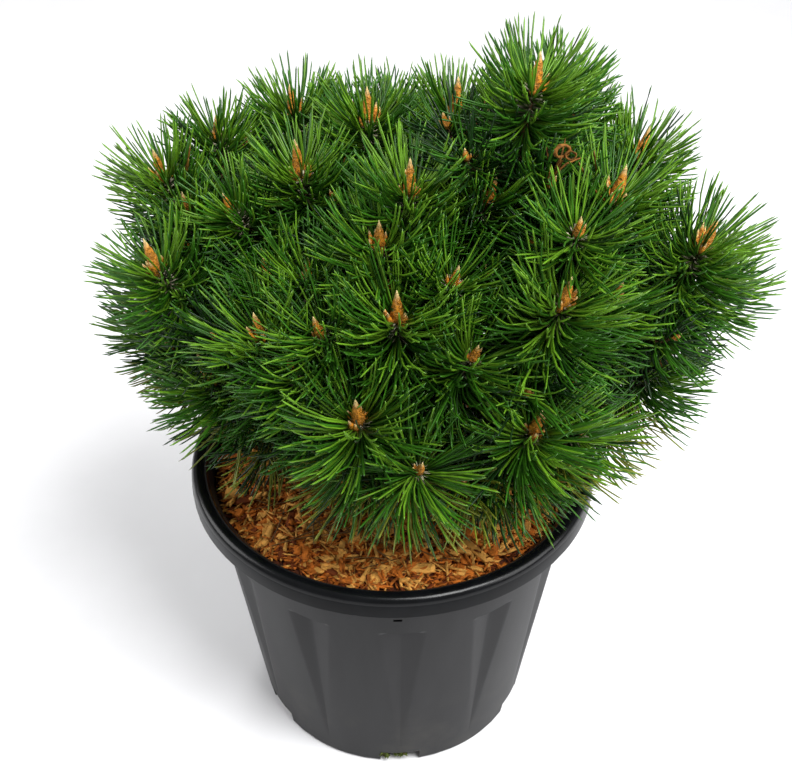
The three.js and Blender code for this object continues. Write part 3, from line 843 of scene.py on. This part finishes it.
def lying_copies(unit, rng, places, sizes, tilt, bulge):
    """Copies that lie about at random: turned every way, tilted a little and a little out of shape."""
    count = len(places)
    yaw = rng.uniform(0, FULL_TURN, count)
    along = compass_rows(yaw, rng.normal(0, tilt, count))
    lean = np.stack([rng.normal(0, tilt * 1.5, count), rng.normal(0, tilt * 1.5, count), np.ones(count)], 1)
    across = unit_rows(np.cross(lean, along))
    axes = np.stack([along, across, np.cross(along, across)], 1)
    corners = unit.corners[None] * (1 + rng.uniform(-bulge, bulge, (count, len(unit.corners), 3)))
    return places[:, None] + np.einsum("cvk,ckx->cvx", corners * sizes[:, None], axes)


class PINE_OT_mulch(bpy.types.Operator):
    """Builds the layer of wood chips: a heaped bed, slivers, chips, blocks and fallen needles"""
    bl_idname = "pine.mulch"
    bl_label = "Mulch"

    def execute(self, context):
        mulch = context.scene.pine_mulch
        node = ["wood_chip_mulch"]
        self.bed(mulch, node)
        rng = np.random.default_rng(17)
        sliver, chip = sliver_form(), chip_form()

        def lay(name, unit, kind, count, lift, material):
            points = self.strewn(rng, unit, kind, count, mulch.radius - kind["inset"], lift)
            finished(joined_copies(name, unit, points), material, node)

        for shade, part in SLIVER["shares"].items():
            colour = getattr(mulch, shade)
            material = plain_finish("sliver_" + shade, colour, 0.5, 260, 0.82, 900, 0.0006, 0.25)
            count = int(mulch.slivers * part)
            lay("mulch_slivers_" + shade, sliver, SLIVER, count, SLIVER["lift"][shade], material)
            material = plain_finish("chip_" + shade, colour, 0.6, 160, 0.8, 700, 0.0008, 0.25)
            count = int(mulch.chips * CHIP["shares"][shade])
            lay("mulch_chips_" + shade, chip, CHIP, count, CHIP["lift"], material)
        material = plain_finish("block", mulch.pale, 0.6, 120, 0.8, 700, 0.0008, 0.25)
        lay("mulch_blocks", chip, BLOCK, mulch.blocks, BLOCK["lift"], material)
        self.fallen(context, rng, mulch, node)
        return {"FINISHED"}

    def bed(self, mulch, node):
        rings = BED["rings"]
        top = [(mulch.radius * (rings - ring) / rings, CHIP_LEVEL) for ring in range(rings)]
        floor = CHIP_LEVEL - mulch.depth
        form = turned([(0, floor), (mulch.radius - 0.002, floor)] + top + [(0, CHIP_LEVEL)], BED["columns"])
        for corner in form.verts:
            if corner.co.z > floor + 0.001:
                rough = sum(noise.noise(corner.co * pitch) * height for pitch, height in BED["rough"])
                corner.co.z += float(heap_height(corner.co.x, corner.co.y)) + rough - BED["sink"]
        # The bed is painted darker than the dark wood: painted shade deep in the gaps between the chips
        material = plain_finish("mulch_bed", darker(mulch.dark, 0.6), 0.3, 240, 0.9, 500, 0.0018)
        finished(piece_from("mulch_bed", form), material, node)

    def strewn(self, rng, unit, kind, count, farthest, lift):
        """Slivers, chips or blocks on the heaps, shorter where they would stick into the wall."""
        x, y = scattered(rng, count, 0.017, farthest - 0.003)
        height = CHIP_LEVEL + heap_height(x, y) + lift * rng.uniform(0.0, 1.0, count)
        sizes = np.stack([lerp(low, high, rng.beta(1.6, 3.2, count)) for low, high in kind["sizes"]], 1)
        inward = np.minimum(1, (farthest - np.hypot(x, y)) / (sizes[:, 0] / 2))
        sizes[:, 0] = np.maximum(sizes[:, 0] * inward, kind["sizes"][0][0] * 0.8)
        return lying_copies(unit, rng, np.stack([x, y, height], 1), sizes, kind["tilt"], 0.22)

    def fallen(self, context, rng, mulch, node):
        """Dry needles that lie on the chips, none of them in the wall."""
        needles = context.scene.pine_needles
        count = mulch.fallen
        x, y = scattered(rng, count, FALLEN["nearest"], mulch.radius - FALLEN["nearest"])
        bases = np.stack([x, y, CHIP_LEVEL + heap_height(x, y) + FALLEN["lift"]], 1)
        yaw = rng.uniform(0, FULL_TURN, count)
        starts = compass_rows(yaw, rng.normal(0.03, 0.04, count))
        ends = compass_rows(yaw + rng.normal(0, 0.35, count), np.full(count, -0.06))
        lengths = rng.uniform(*FALLEN["lengths"], count)
        tips = np.hypot(*(bases + starts * lengths[:, None])[:, :2].T)
        kept = tips < mulch.radius - 0.006
        unit = needle_form()
        points = bent_copies(unit, bases[kept], starts[kept], ends[kept], lengths[kept],
                             np.full(kept.sum(), FALLEN["thickness"]), rng.uniform(0, 6, kept.sum()))
        material = plain_finish("fallen_needle", darker(needles.dry, 0.75), 0.5, 200, 0.7)
        finished(joined_copies("fallen_needles", unit, points), material, node)


# The plant's rule

def dice(seed):
    """A repeatable run of numbers from 0 to 1, the same as the source's."""
    state = (seed * 2654435761 + 12345) % 2 ** 32
    while True:
        state = (state * 1664525 + 1013904223) % 2 ** 32
        yield state / 2 ** 32


class Arc:
    """A curve that leaves its start towards its bend and arrives at its end from it."""

    def __init__(self, start, bend, end):
        self.start, self.bend, self.end = start.copy(), bend.copy(), end.copy()

    def point(self, at):
        return (1 - at) ** 2 * self.start + 2 * at * (1 - at) * self.bend + at * at * self.end

    def along(self, at):
        return ((1 - at) * (self.bend - self.start) + at * (self.end - self.bend)).normalized()

    def rows(self, at):
        return (at[:, None], *(np.array(place) for place in (self.start, self.bend, self.end)))

    def points(self, at):
        at, start, bend, end = self.rows(at)
        return (1 - at) ** 2 * start + 2 * at * (1 - at) * bend + at * at * end

    def directions(self, at):
        at, start, bend, end = self.rows(at)
        return unit_rows((1 - at) * (bend - start) + at * (end - bend))


def frames_along(arc, stations):
    """Places along an arc, each with its direction and two across it that turn as little as they may."""
    across = Vector((1, 0, 0))
    rows = []
    for at in stations:
        along = arc.along(at)
        across = (across - along * across.dot(along)).normalized()
        rows.append((arc.point(at), across, along.cross(across), along))
    return rows


def trunk_limb():
    foot = Vector((0, 0, CHIP_LEVEL + GAP))

    def radius_at(at):
        flare = max(0, 1 - at / TRUNK["flare_share"])
        widening = (TRUNK["foot_radius"] - TRUNK["radius"]) * flare ** 2
        return lerp(TRUNK["radius"], TRUNK["tip_radius"], at) + widening

    return {"arc": Arc(foot, TRUNK["bend"], TRUNK["top"]), "radius_at": radius_at}


def shoot_arcs(row, rolls):
    """The arcs of a mass's shoots: the leader first, then its side shoots, as in the source."""
    bearing, reach, height, sides = row[3:]
    east, north = math.cos(math.radians(bearing)), math.sin(math.radians(bearing))
    bud = Vector((reach * east, reach * north, height))
    outward = (bud - CROWN_HEART).normalized()
    growth = outward.lerp(UP, SHOOT["upwards"]).normalized()
    tip = bud - growth * BUD_LENGTH * 0.4
    length = SHOOT["length"]
    foot = tip - outward * length * SHOOT["outward_share"] - growth * length * (1 - SHOOT["outward_share"])
    leader = Arc(foot, tip - growth * length * 0.5, tip)
    level = Vector((-north, east, 0))
    uphill = outward.cross(level)
    arcs = [leader]
    for index, turn in enumerate(sides):
        away = level * math.cos(math.radians(turn)) + uphill * math.sin(math.radians(turn))
        end = tip + away * SIDE["reach"] * lerp(0.92, 1.1, next(rolls))
        end -= outward * SIDE["drop"] * lerp(0.5, 1.5, next(rolls))
        rise = (growth + away * 0.35).normalized()
        start = leader.point(SIDE["lowest"] + SIDE["apart"] * index)
        arcs.append(Arc(start, end - rise * length * 0.45, end))
    return arcs, outward, growth, level, uphill


def bough_limb(parent, at, leader):
    """A bough leaves its parent limb and bends into line with the foot of its mass's leader."""
    root = parent["arc"].point(at)
    arrival = leader.along(0)
    tip = leader.point(0)
    bend = tip - arrival * BOUGH["bend"] * (root - tip).length
    root_radius = min(BOUGH["root_radius"], parent["radius_at"](at) * BOUGH["fork_share"])
    tip_radius = min(BOUGH["tip_radius"], root_radius * 0.9)
    return {"arc": Arc(root, bend, tip), "radius_at": lambda share: lerp(root_radius, tip_radius, share)}


def roomiest_twig(leader, outward, growth, level, uphill, taken, first_turn):
    """The end of an inner twig, turned round its leader to where there is most room."""
    best, best_room = None, -1
    middle = leader.end - outward * TWIG["drop"]
    for index in range(TWIG["candidates"]):
        turn = first_turn + index * FULL_TURN / TWIG["candidates"]
        away = level * math.cos(turn) + uphill * math.sin(turn)
        end = middle + away * TWIG["reach"]
        if end.z < TWIG["lowest"]:
            continue
        room = min((end - other).length for other in taken)
        if room > best_room:
            best, best_room = (end, (growth + away * 0.6).normalized()), room
    return best


def plant():
    """All limbs, and all shoots as (arc, rank), from the source's rule carried on to finer twigs."""
    limbs = {"trunk": trunk_limb()}
    shoots = []
    rules = []
    for index, row in enumerate(MASSES):
        arcs, outward, growth, level, uphill = shoot_arcs(row, dice(index + 1))
        limbs[row[0]] = bough_limb(limbs[row[1]], row[2], arcs[0])
        shoots.append((arcs[0], "leader"))
        shoots += [(arc, "side") for arc in arcs[1:]]
        rules.append((limbs[row[0]], arcs[0], outward, growth, level, uphill))
    taken = [arc.end for arc, _ in shoots]
    for index, (bough, leader, outward, growth, level, uphill) in enumerate(rules):
        for count in range(TWIG["count"]):
            start = leader.point(0.06 + 0.12 * count) if count else bough["arc"].point(0.86)
            first_turn = index * 1.1 + count * 2.4
            found = roomiest_twig(leader, outward, growth, level, uphill, taken, first_turn)
            if found is None:
                continue
            end, rise = found
            shoots.append((Arc(start, end - rise * TWIG["length"] * 0.45, end), "twig"))
            taken.append(end)
    return limbs, shoots


# The limbs

def grow_limb(form, arc, radius_at, sides, steps):
    """Extrudes a ring of edges from station to station along an arc, and closes both ends."""
    rows = frames_along(arc, [step / steps for step in range(steps + 1)])

    def station(step):
        centre, across, side, along = rows[step]
        radius = radius_at(step / steps)
        turn = Matrix((across, side, along)).transposed().to_4x4()
        return Matrix.Translation(centre) @ turn @ Matrix.Diagonal((radius, radius, radius, 1))

    before = station(0)
    made = bmesh.ops.create_circle(form, cap_ends=True, segments=sides, radius=1, matrix=before)
    ring = list({edge for corner in made["verts"] for edge in corner.link_edges})
    corners = list(made["verts"])
    for step in range(1, steps + 1):
        grown = bmesh.ops.extrude_edge_only(form, edges=ring)["geom"]
        moved = [part for part in grown if isinstance(part, bmesh.types.BMVert)]
        ring = [part for part in grown if isinstance(part, bmesh.types.BMEdge)
                and all(corner in moved for corner in part.verts)]
        after = station(step)
        bmesh.ops.transform(form, matrix=after @ before.inverted(), verts=moved)
        before = after
        corners += moved
    bmesh.ops.edgeloop_fill(form, edges=ring)
    return corners


def scaly(corners, centre_line, depth, pitch):
    """Pushes a limb's corners in and out as plates of bark stand."""
    for corner in corners:
        plates = noise.cell(Vector(corner.co) * pitch) - 0.5
        swell = noise.noise(Vector(corner.co) * pitch * 0.7)
        away = corner.co - centre_line(corner.co)
        if away.length > 1e-6:
            corner.co += away.normalized() * depth * (0.7 * plates + 0.6 * swell)


def nearest_on(arc, samples=24):
    """A function that gives the point of an arc nearest to a place."""
    line = [arc.point(step / samples) for step in range(samples + 1)]
    return lambda place: min(line, key=lambda point: (point - place).length_squared)


class PINE_OT_limbs(bpy.types.Operator):
    """Builds the trunk and boughs with their bark, and the brown shoots and twigs"""
    bl_idname = "pine.limbs"
    bl_label = "Limbs"

    def execute(self, context):
        settings = context.scene.pine_limbs
        limbs, shoots = plant()
        form = bmesh.new()
        for name, limb in limbs.items():
            sides, steps = FACETS.get(name, (settings.sides, settings.steps))
            corners = grow_limb(form, limb["arc"], limb["radius_at"], sides, steps)
            relief = settings.relief * BARK["trunk" if name == "trunk" else "bough"]
            scaly(corners, nearest_on(limb["arc"]), relief, BARK["pitch"])
            if name == "trunk":
                for corner in corners[:sides]:
                    corner.co.z = CHIP_LEVEL - 0.003
        bark = Finish("bark", 0.9, 0.3)
        plates = bark.tones(settings.bark_dark, settings.bark, 210, 0.38, 0.56)
        bark.colour(plates.outputs["Color"])
        bark.relief(plates.outputs["Mask"], 0.0008)
        finished(piece_from("bark_limbs", form), bark.material, LIMB_NODES)
        form = bmesh.new()
        for arc, rank in shoots:
            sizes, facets = (TWIG, FACETS["twig"]) if rank == "twig" else (SHOOT, FACETS["shoot"])

            def radius_at(at):
                return lerp(sizes["foot_radius"], sizes["tip_radius"], at) * BARK["shoot_width"]

            corners = grow_limb(form, arc, radius_at, *facets)
            scaly(corners, nearest_on(arc), BARK["shoot"], BARK["shoot_pitch"])
        material = plain_finish("young_bark", settings.twig, 0.4, 420, 0.8, 600, 0.0008)
        finished(piece_from("young_shoots", form), material, NEEDLE_NODES)
        return {"FINISHED"}


# The needles

def pairs_on(arc, rank, settings, rng, old):
    """The pairs on a shoot: their feet, the shoot's direction, their outward one and their pitch."""
    count = settings.old_pairs if old else getattr(settings, rank + "_pairs")
    stand = STAND["old" if old else "twig" if rank == "twig" else "new"]
    up = (np.arange(count) + 0.5) / count
    at = lerp(stand["first"], stand["last"], up ** stand["gather"])
    turn = np.arange(count) * GOLDEN_TURN + rng.uniform(-0.3, 0.3, count)
    along = arc.directions(at)
    reference = np.array(arc.along(0.5).orthogonal())
    across = unit_rows(reference - along * (along @ reference)[:, None])
    side = np.cross(along, across)
    outward = across * np.cos(turn)[:, None] + side * np.sin(turn)[:, None]
    pitch = np.radians(lerp(*stand["pitch"], up ** stand["ease"])) + rng.normal(0, stand["wander"], count)
    bark = (TWIG if rank == "twig" else SHOOT)["tip_radius"] * 0.8
    return {"feet": arc.points(at) + outward * bark, "along": along, "outward": outward, "pitch": pitch,
            "up": up}


def pair_arcs(pairs, settings, arc, rank, rng, old):
    """Two needles for each pair: where they start, how they leave, how they end, and how long they are."""
    along, outward, pitch, up = pairs["along"], pairs["outward"], pairs["pitch"], pairs["up"]
    count = len(up)
    aside = np.cross(along, outward)
    twist = rng.uniform(0, math.pi, count)[:, None]
    sunny = max(0, -(arc.end - CROWN_HEART).normalized().y)
    length = settings.length + settings.sunny_extra * sunny
    length = length * lerp(1.0, 0.90, up) * rng.uniform(0.84, 1.05, count)
    length *= RANK[rank]["needle"] * (0.86 if old else 1)
    curl = rng.normal(BENT["curl"], BENT["spread"], count)
    curl *= np.clip(pitch / BENT["full_at"], BENT["least"], 1)
    sag = rng.uniform(0.0, BENT["sag"], count)
    rows = []

    def at_pitch(angle):
        return along * np.cos(angle)[:, None] + outward * np.sin(angle)[:, None]

    for hand in (-1, 1):
        opening = hand * rng.uniform(*BENT["opening"], count)[:, None]
        leave = at_pitch(pitch + curl * BENT["at_foot"])
        spread = aside * np.cos(twist) + np.cross(aside, leave) * np.sin(twist)
        wander = rng.normal(0, BENT["wander"], (count, 3))
        arrive = at_pitch(pitch - curl) + spread * opening * BENT["opening_at_tip"] + wander
        arrive[:, 2] -= sag
        rows.append((pairs["feet"] + spread * hand * settings.thickness * 0.35,
                     unit_rows(leave + spread * opening), unit_rows(arrive),
                     length * rng.uniform(0.95, 1.03, count)))
    return rows


def places_on(feet, starts, ends, lengths, at):
    return feet + lengths[:, None] * (starts * at + (ends - starts) * at * at / 2)


def floor_under(radius):
    """The lowest level that a needle may reach over the chips, over the lip and outside the pot."""
    beyond = np.where(radius < CLEAR["lip"], CLEAR["over_lip"], CLEAR["outside"])
    return np.where(radius < CLEAR["mouth"], CLEAR["over_chips"], beyond)


def lifted(feet, starts, ends, lengths):
    """Bends up needles that dip into the chips or the lip, and tells which are clear at the last look."""
    for _ in range(LIFT["tries"]):
        clear = np.ones(len(feet), bool)
        for at in LIFT["looked_at"]:
            place = places_on(feet, starts, ends, lengths, at)
            clear &= place[:, 2] > floor_under(np.hypot(place[:, 0], place[:, 1]))
        starts, ends = starts.copy(), ends.copy()
        starts[~clear, 2] += LIFT["start"]
        ends[~clear, 2] += LIFT["end"]
        starts, ends = unit_rows(starts), unit_rows(ends)
    return starts, ends, clear


def roomy(tips, home, others, slack):
    """Whether each needle's tip is nearer to its own shoot than to any other's head, with some slack."""
    own = np.linalg.norm(tips[:, None] - home[None], axis=2).min(1)
    kept = np.ones(len(tips), bool)
    for line in others:
        kept &= np.linalg.norm(tips[:, None] - line[None], axis=2).min(1) > own - slack
    return kept


class PINE_OT_needles(bpy.types.Operator):
    """Builds every pair of needles with its papery sheath, dealt out by tint"""
    bl_idname = "pine.needles"
    bl_label = "Needles"

    def execute(self, context):
        settings = context.scene.pine_needles
        _, shoots = plant()
        rng = np.random.default_rng(5)
        lines = [arc.points(np.linspace(*ROOM["own"])) for arc, _ in shoots]
        heads = [arc.points(np.linspace(*ROOM["others"])) for arc, _ in shoots]
        outer = [index for index, (_, rank) in enumerate(shoots) if rank != "twig"]
        needles, sheaths = [], []
        for index, (arc, rank) in enumerate(shoots):
            for old in ((False,) if rank == "twig" else (False, True)):
                pairs = pairs_on(arc, rank, settings, rng, old)
                bright = self.brightness(arc, rank, pairs, old, rng)
                others = [heads[other] for other in outer if other != index]
                hands = pair_arcs(pairs, settings, arc, rank, rng, old)
                for hand, (feet, starts, ends, lengths) in enumerate(hands):
                    starts, ends, kept = lifted(feet, starts, ends, lengths)
                    tips = places_on(feet, starts, ends, lengths, 1.0)
                    kept &= roomy(tips, lines[index], others, RANK[rank]["slack"])
                    needles.append(np.column_stack([feet, starts, ends, lengths, bright])[kept])
                    if hand == 0 and rank != "twig" and not old:
                        near_bud = kept & (pairs["up"] > SHEATH["from"])
                        sheaths.append(np.column_stack([feet, starts])[near_bud])
        self.make_needles(settings, np.concatenate(needles), rng)
        self.make_sheaths(settings, np.concatenate(sheaths), rng)
        return {"FINISHED"}

    def brightness(self, arc, rank, pairs, old, rng):
        """How light each pair's tint is: from its age and place on the shoot, and as painted light and
        shade from its place in the crown.
        """
        up = pairs["up"]
        away = (arc.end - CROWN_HEART).length
        # Painted light and shade: pairs far from the crown's heart are lighter, inner ones darker
        base = RANK[rank]["fresh"] + LIGHT_AND_AGE["outward"] * (away - LIGHT_AND_AGE["distance"])
        bright = base + LIGHT_AND_AGE["up"] * up + rng.normal(0, LIGHT_AND_AGE["chance"], len(up))
        bright = np.maximum(bright - (LIGHT_AND_AGE["old"] if old else 0), LIGHT_AND_AGE["least"])
        chance = rng.uniform(0, 1, len(bright))
        low = pairs["feet"][:, 2] < LIGHT_AND_AGE["low"]
        bright[low & (chance < LIGHT_AND_AGE["yellowing"])] = OLIVE
        bright[chance < LIGHT_AND_AGE["dead_old" if old else "dead"]] = DEAD
        return bright

    def make_needles(self, settings, rows, rng):
        unit = needle_form()
        for shade, (low, high) in BANDS.items():
            part = rows[(rows[:, 10] > low) & (rows[:, 10] <= high)]
            thickness = settings.thickness * rng.uniform(0.85, 1.1, len(part))
            points = rolled_copies(unit, part, thickness, rng)
            colour = getattr(settings, shade)
            material = plain_finish("needle_" + shade, colour, 0.6, 70, 0.42, specular=0.42)
            triangles = len(part) * sum(len(face) - 2 for face in unit.faces)
            for index, lot in enumerate(np.array_split(points, triangles // PIECE_TRIANGLES + 1)):
                name = "needles_%s_%d" % (shade, index + 1)
                finished(joined_copies(name, unit, lot), material, NEEDLE_NODES)

    def make_sheaths(self, settings, rows, rng):
        unit = sheath_form()
        feet, starts = rows[:, 0:3], rows[:, 3:6]
        lengths = rng.uniform(*SHEATH["lengths"], len(rows))
        thickness = np.full(len(rows), settings.thickness * SHEATH["width"])
        points = bent_copies(unit, feet, starts, starts, lengths, thickness, rng.uniform(0, 6, len(rows)))
        material = plain_finish("sheath", settings.sheath, 0.45, 120, 0.8)
        finished(joined_copies("needle_sheaths", unit, points), material, NEEDLE_NODES)


# The buds

class PINE_OT_buds(bpy.types.Operator):
    """Builds the bud at the end of every shoot, smaller ones round its foot, and one twig's dead scales"""
    bl_idname = "pine.buds"
    bl_label = "Buds"

    def execute(self, context):
        settings = context.scene.pine_buds
        _, shoots = plant()
        rng = np.random.default_rng(23)
        large, small = [], []
        for arc, rank in shoots:
            along = np.array(arc.along(1))
            upright = unit_rows(along * 0.55 + np.array([0, 0, 0.45]))
            growth = RANK[rank]["bud"] * rng.uniform(0.86, 1.1)
            foot = np.array(arc.end) - along * 0.0015
            large.append((*foot, *along, *upright, settings.length * growth,
                          settings.radius * growth ** 0.7))
            for _ in range(rng.integers(*SIDE_BUDS["leader" if rank == "leader" else "others"])):
                bearing = rng.uniform(0, FULL_TURN)
                aside = np.array([math.cos(bearing), math.sin(bearing), 0.0])
                aside = unit_rows(aside - along * (aside @ along))
                lean = unit_rows(along * 0.8 + aside * 0.34)
                place = foot + aside * settings.radius * growth * SIDE_BUDS["out"]
                length = settings.length * growth * rng.uniform(*SIDE_BUDS["length"])
                small.append((*place, *lean, *unit_rows(lean + upright * 1.5), length,
                              settings.radius * growth * SIDE_BUDS["radius"]))
        material = bud_scales(settings)
        for name, rows, facets in (("leading_buds", large, (12, 18)), ("side_buds", small, (7, 7))):
            rows = np.array(rows)
            unit = bud_form(*facets)
            points = rolled_copies(unit, rows, rows[:, 10] * 2, rng)
            finished(joined_copies(name, unit, points, attribute="along"), material, NEEDLE_NODES)
        self.dry_scales(shoots, rng)
        return {"FINISHED"}

    def dry_scales(self, shoots, rng):
        """The dead scales that curl into rings at the end of one twig, with dry strands among them."""
        twigs = [arc for arc, rank in shoots if rank == "twig"]
        twig = min(twigs, key=lambda arc: (arc.end - DRY["place"]).length)
        middle = twig.end + DRY["beyond"]
        form = bmesh.new()
        for ring in range(DRY["rings"]):
            before = set(form.verts)
            section = Matrix.Translation((DRY["ring_radius"], 0, 0)) @ Matrix.Rotation(math.pi / 2, 4, "X")
            made = bmesh.ops.create_circle(form, segments=6, radius=DRY["strand"], matrix=section)["verts"]
            edges = list({edge for corner in made for edge in corner.link_edges})
            bmesh.ops.spin(form, geom=made + edges, cent=(0, 0, 0), axis=(0, 0, 1), angle=FULL_TURN,
                           steps=16, use_merge=True)
            new = [corner for corner in form.verts if corner not in before]
            smaller = 1 - 0.35 * ring
            turn = Matrix.Rotation(rng.uniform(-0.5, 0.5), 4, "Z")
            upright = Matrix.Rotation(math.pi / 2 - 0.4 * ring, 4, "X")
            shape = Matrix.Diagonal((smaller, smaller * 0.8, 1.6, 1))
            place = Matrix.Translation(middle + DRY["apart"] * ring)
            bmesh.ops.transform(form, matrix=place @ turn @ upright @ shape, verts=new)
        noise.seed_set(DRY["seed"])
        for corner in form.verts:
            corner.co += noise.noise_vector(corner.co * 300) * 0.0008
        material = plain_finish("dry_scale", paint(134, 88, 36), 0.4, 300, 0.8, specular=0.2)
        finished(piece_from("dry_scales", form), material, [])
        count = DRY["strands"]
        unit = needle_form()
        bases = np.tile(np.array(twig.end), (count, 1)) + rng.normal(0, 0.0015, (count, 3))
        starts = unit_rows(np.array(DRY["beyond"].normalized()) + rng.normal(0, 0.22, (count, 3)))
        ends = unit_rows(starts + rng.normal(0, 0.7, (count, 3)))
        points = bent_copies(unit, bases, starts, ends, rng.uniform(*DRY["lengths"], count),
                             np.full(count, 1.6 * DRY["strand"]), np.zeros(count))
        finished(joined_copies("dry_strands", unit, points), material, [])


# The stage

def soft_light(name, watts, width, place):
    light = bpy.data.lights.new(name, "AREA")
    light.shape = "SQUARE"
    light.size = width
    light.energy = watts
    lamp = placed(name, light)
    lamp.location = place
    lamp.rotation_euler = (Vector(place) - Vector(LIGHT_TARGET)).to_track_quat("Z", "Y").to_euler()


class PINE_OT_stage(bpy.types.Operator):
    """Builds the pale floor, the soft lights and the camera"""
    bl_idname = "pine.stage"
    bl_label = "Stage"

    def execute(self, context):
        settings = context.scene.pine_stage
        form = bmesh.new()
        bmesh.ops.create_grid(form, x_segments=4, y_segments=4, size=12)
        floor = piece_from("pale_floor", form, smooth=False)
        floor.data.transform(Matrix.Translation((0, 0, -0.0002)))
        floor.data.materials.append(plain_finish("pale_floor", settings.floor, 0.97, 6, 0.6))
        world = bpy.data.worlds.new("White surroundings")
        world.use_nodes = True
        world.node_tree.nodes["Background"].inputs["Color"].default_value = (1, 1, 1, 1)
        world.node_tree.nodes["Background"].inputs["Strength"].default_value = settings.sky
        context.scene.world = world
        context.scene.view_settings.view_transform = "Standard"
        for name, setting, width, place in LIGHTS:
            soft_light(name, getattr(settings, setting), width, place)
        eye = bpy.data.cameras.new("photo_camera")
        eye.lens = CAMERA["lens"]
        eye.sensor_width = CAMERA["sensor"]
        camera = placed("photo_camera", eye)
        camera.location = CAMERA["place"]
        camera.rotation_euler = (CAMERA["tilt"], 0, 0)
        context.scene.camera = camera
        return {"FINISHED"}


STEPS = (PINE_OT_stage, PINE_OT_pot, PINE_OT_mulch, PINE_OT_limbs, PINE_OT_needles, PINE_OT_buds)


class PINE_PT_steps(bpy.types.Panel):
    """Lists the steps in the order in which they run"""
    bl_idname = "PINE_PT_steps"
    bl_label = "Potted pine"
    bl_space_type = "VIEW_3D"
    bl_region_type = "UI"
    bl_category = "Pine"

    def draw(self, context):
        for step in STEPS:
            self.layout.operator(step.bl_idname)


def register():
    for kind in (*SETTINGS.values(), *STEPS, PINE_PT_steps):
        bpy.utils.register_class(kind)
    for name, kind in SETTINGS.items():
        setattr(bpy.types.Scene, name, PointerProperty(type=kind))


def unregister():
    for name in SETTINGS:
        delattr(bpy.types.Scene, name)
    for kind in (PINE_PT_steps, *reversed(STEPS), *reversed(SETTINGS.values())):
        bpy.utils.unregister_class(kind)


def main():
    register()
    bpy.ops.pine.stage()
    bpy.ops.pine.pot()
    bpy.ops.pine.mulch()
    bpy.ops.pine.limbs()
    bpy.ops.pine.needles()
    bpy.ops.pine.buds()


if __name__ == "__main__":
    main()
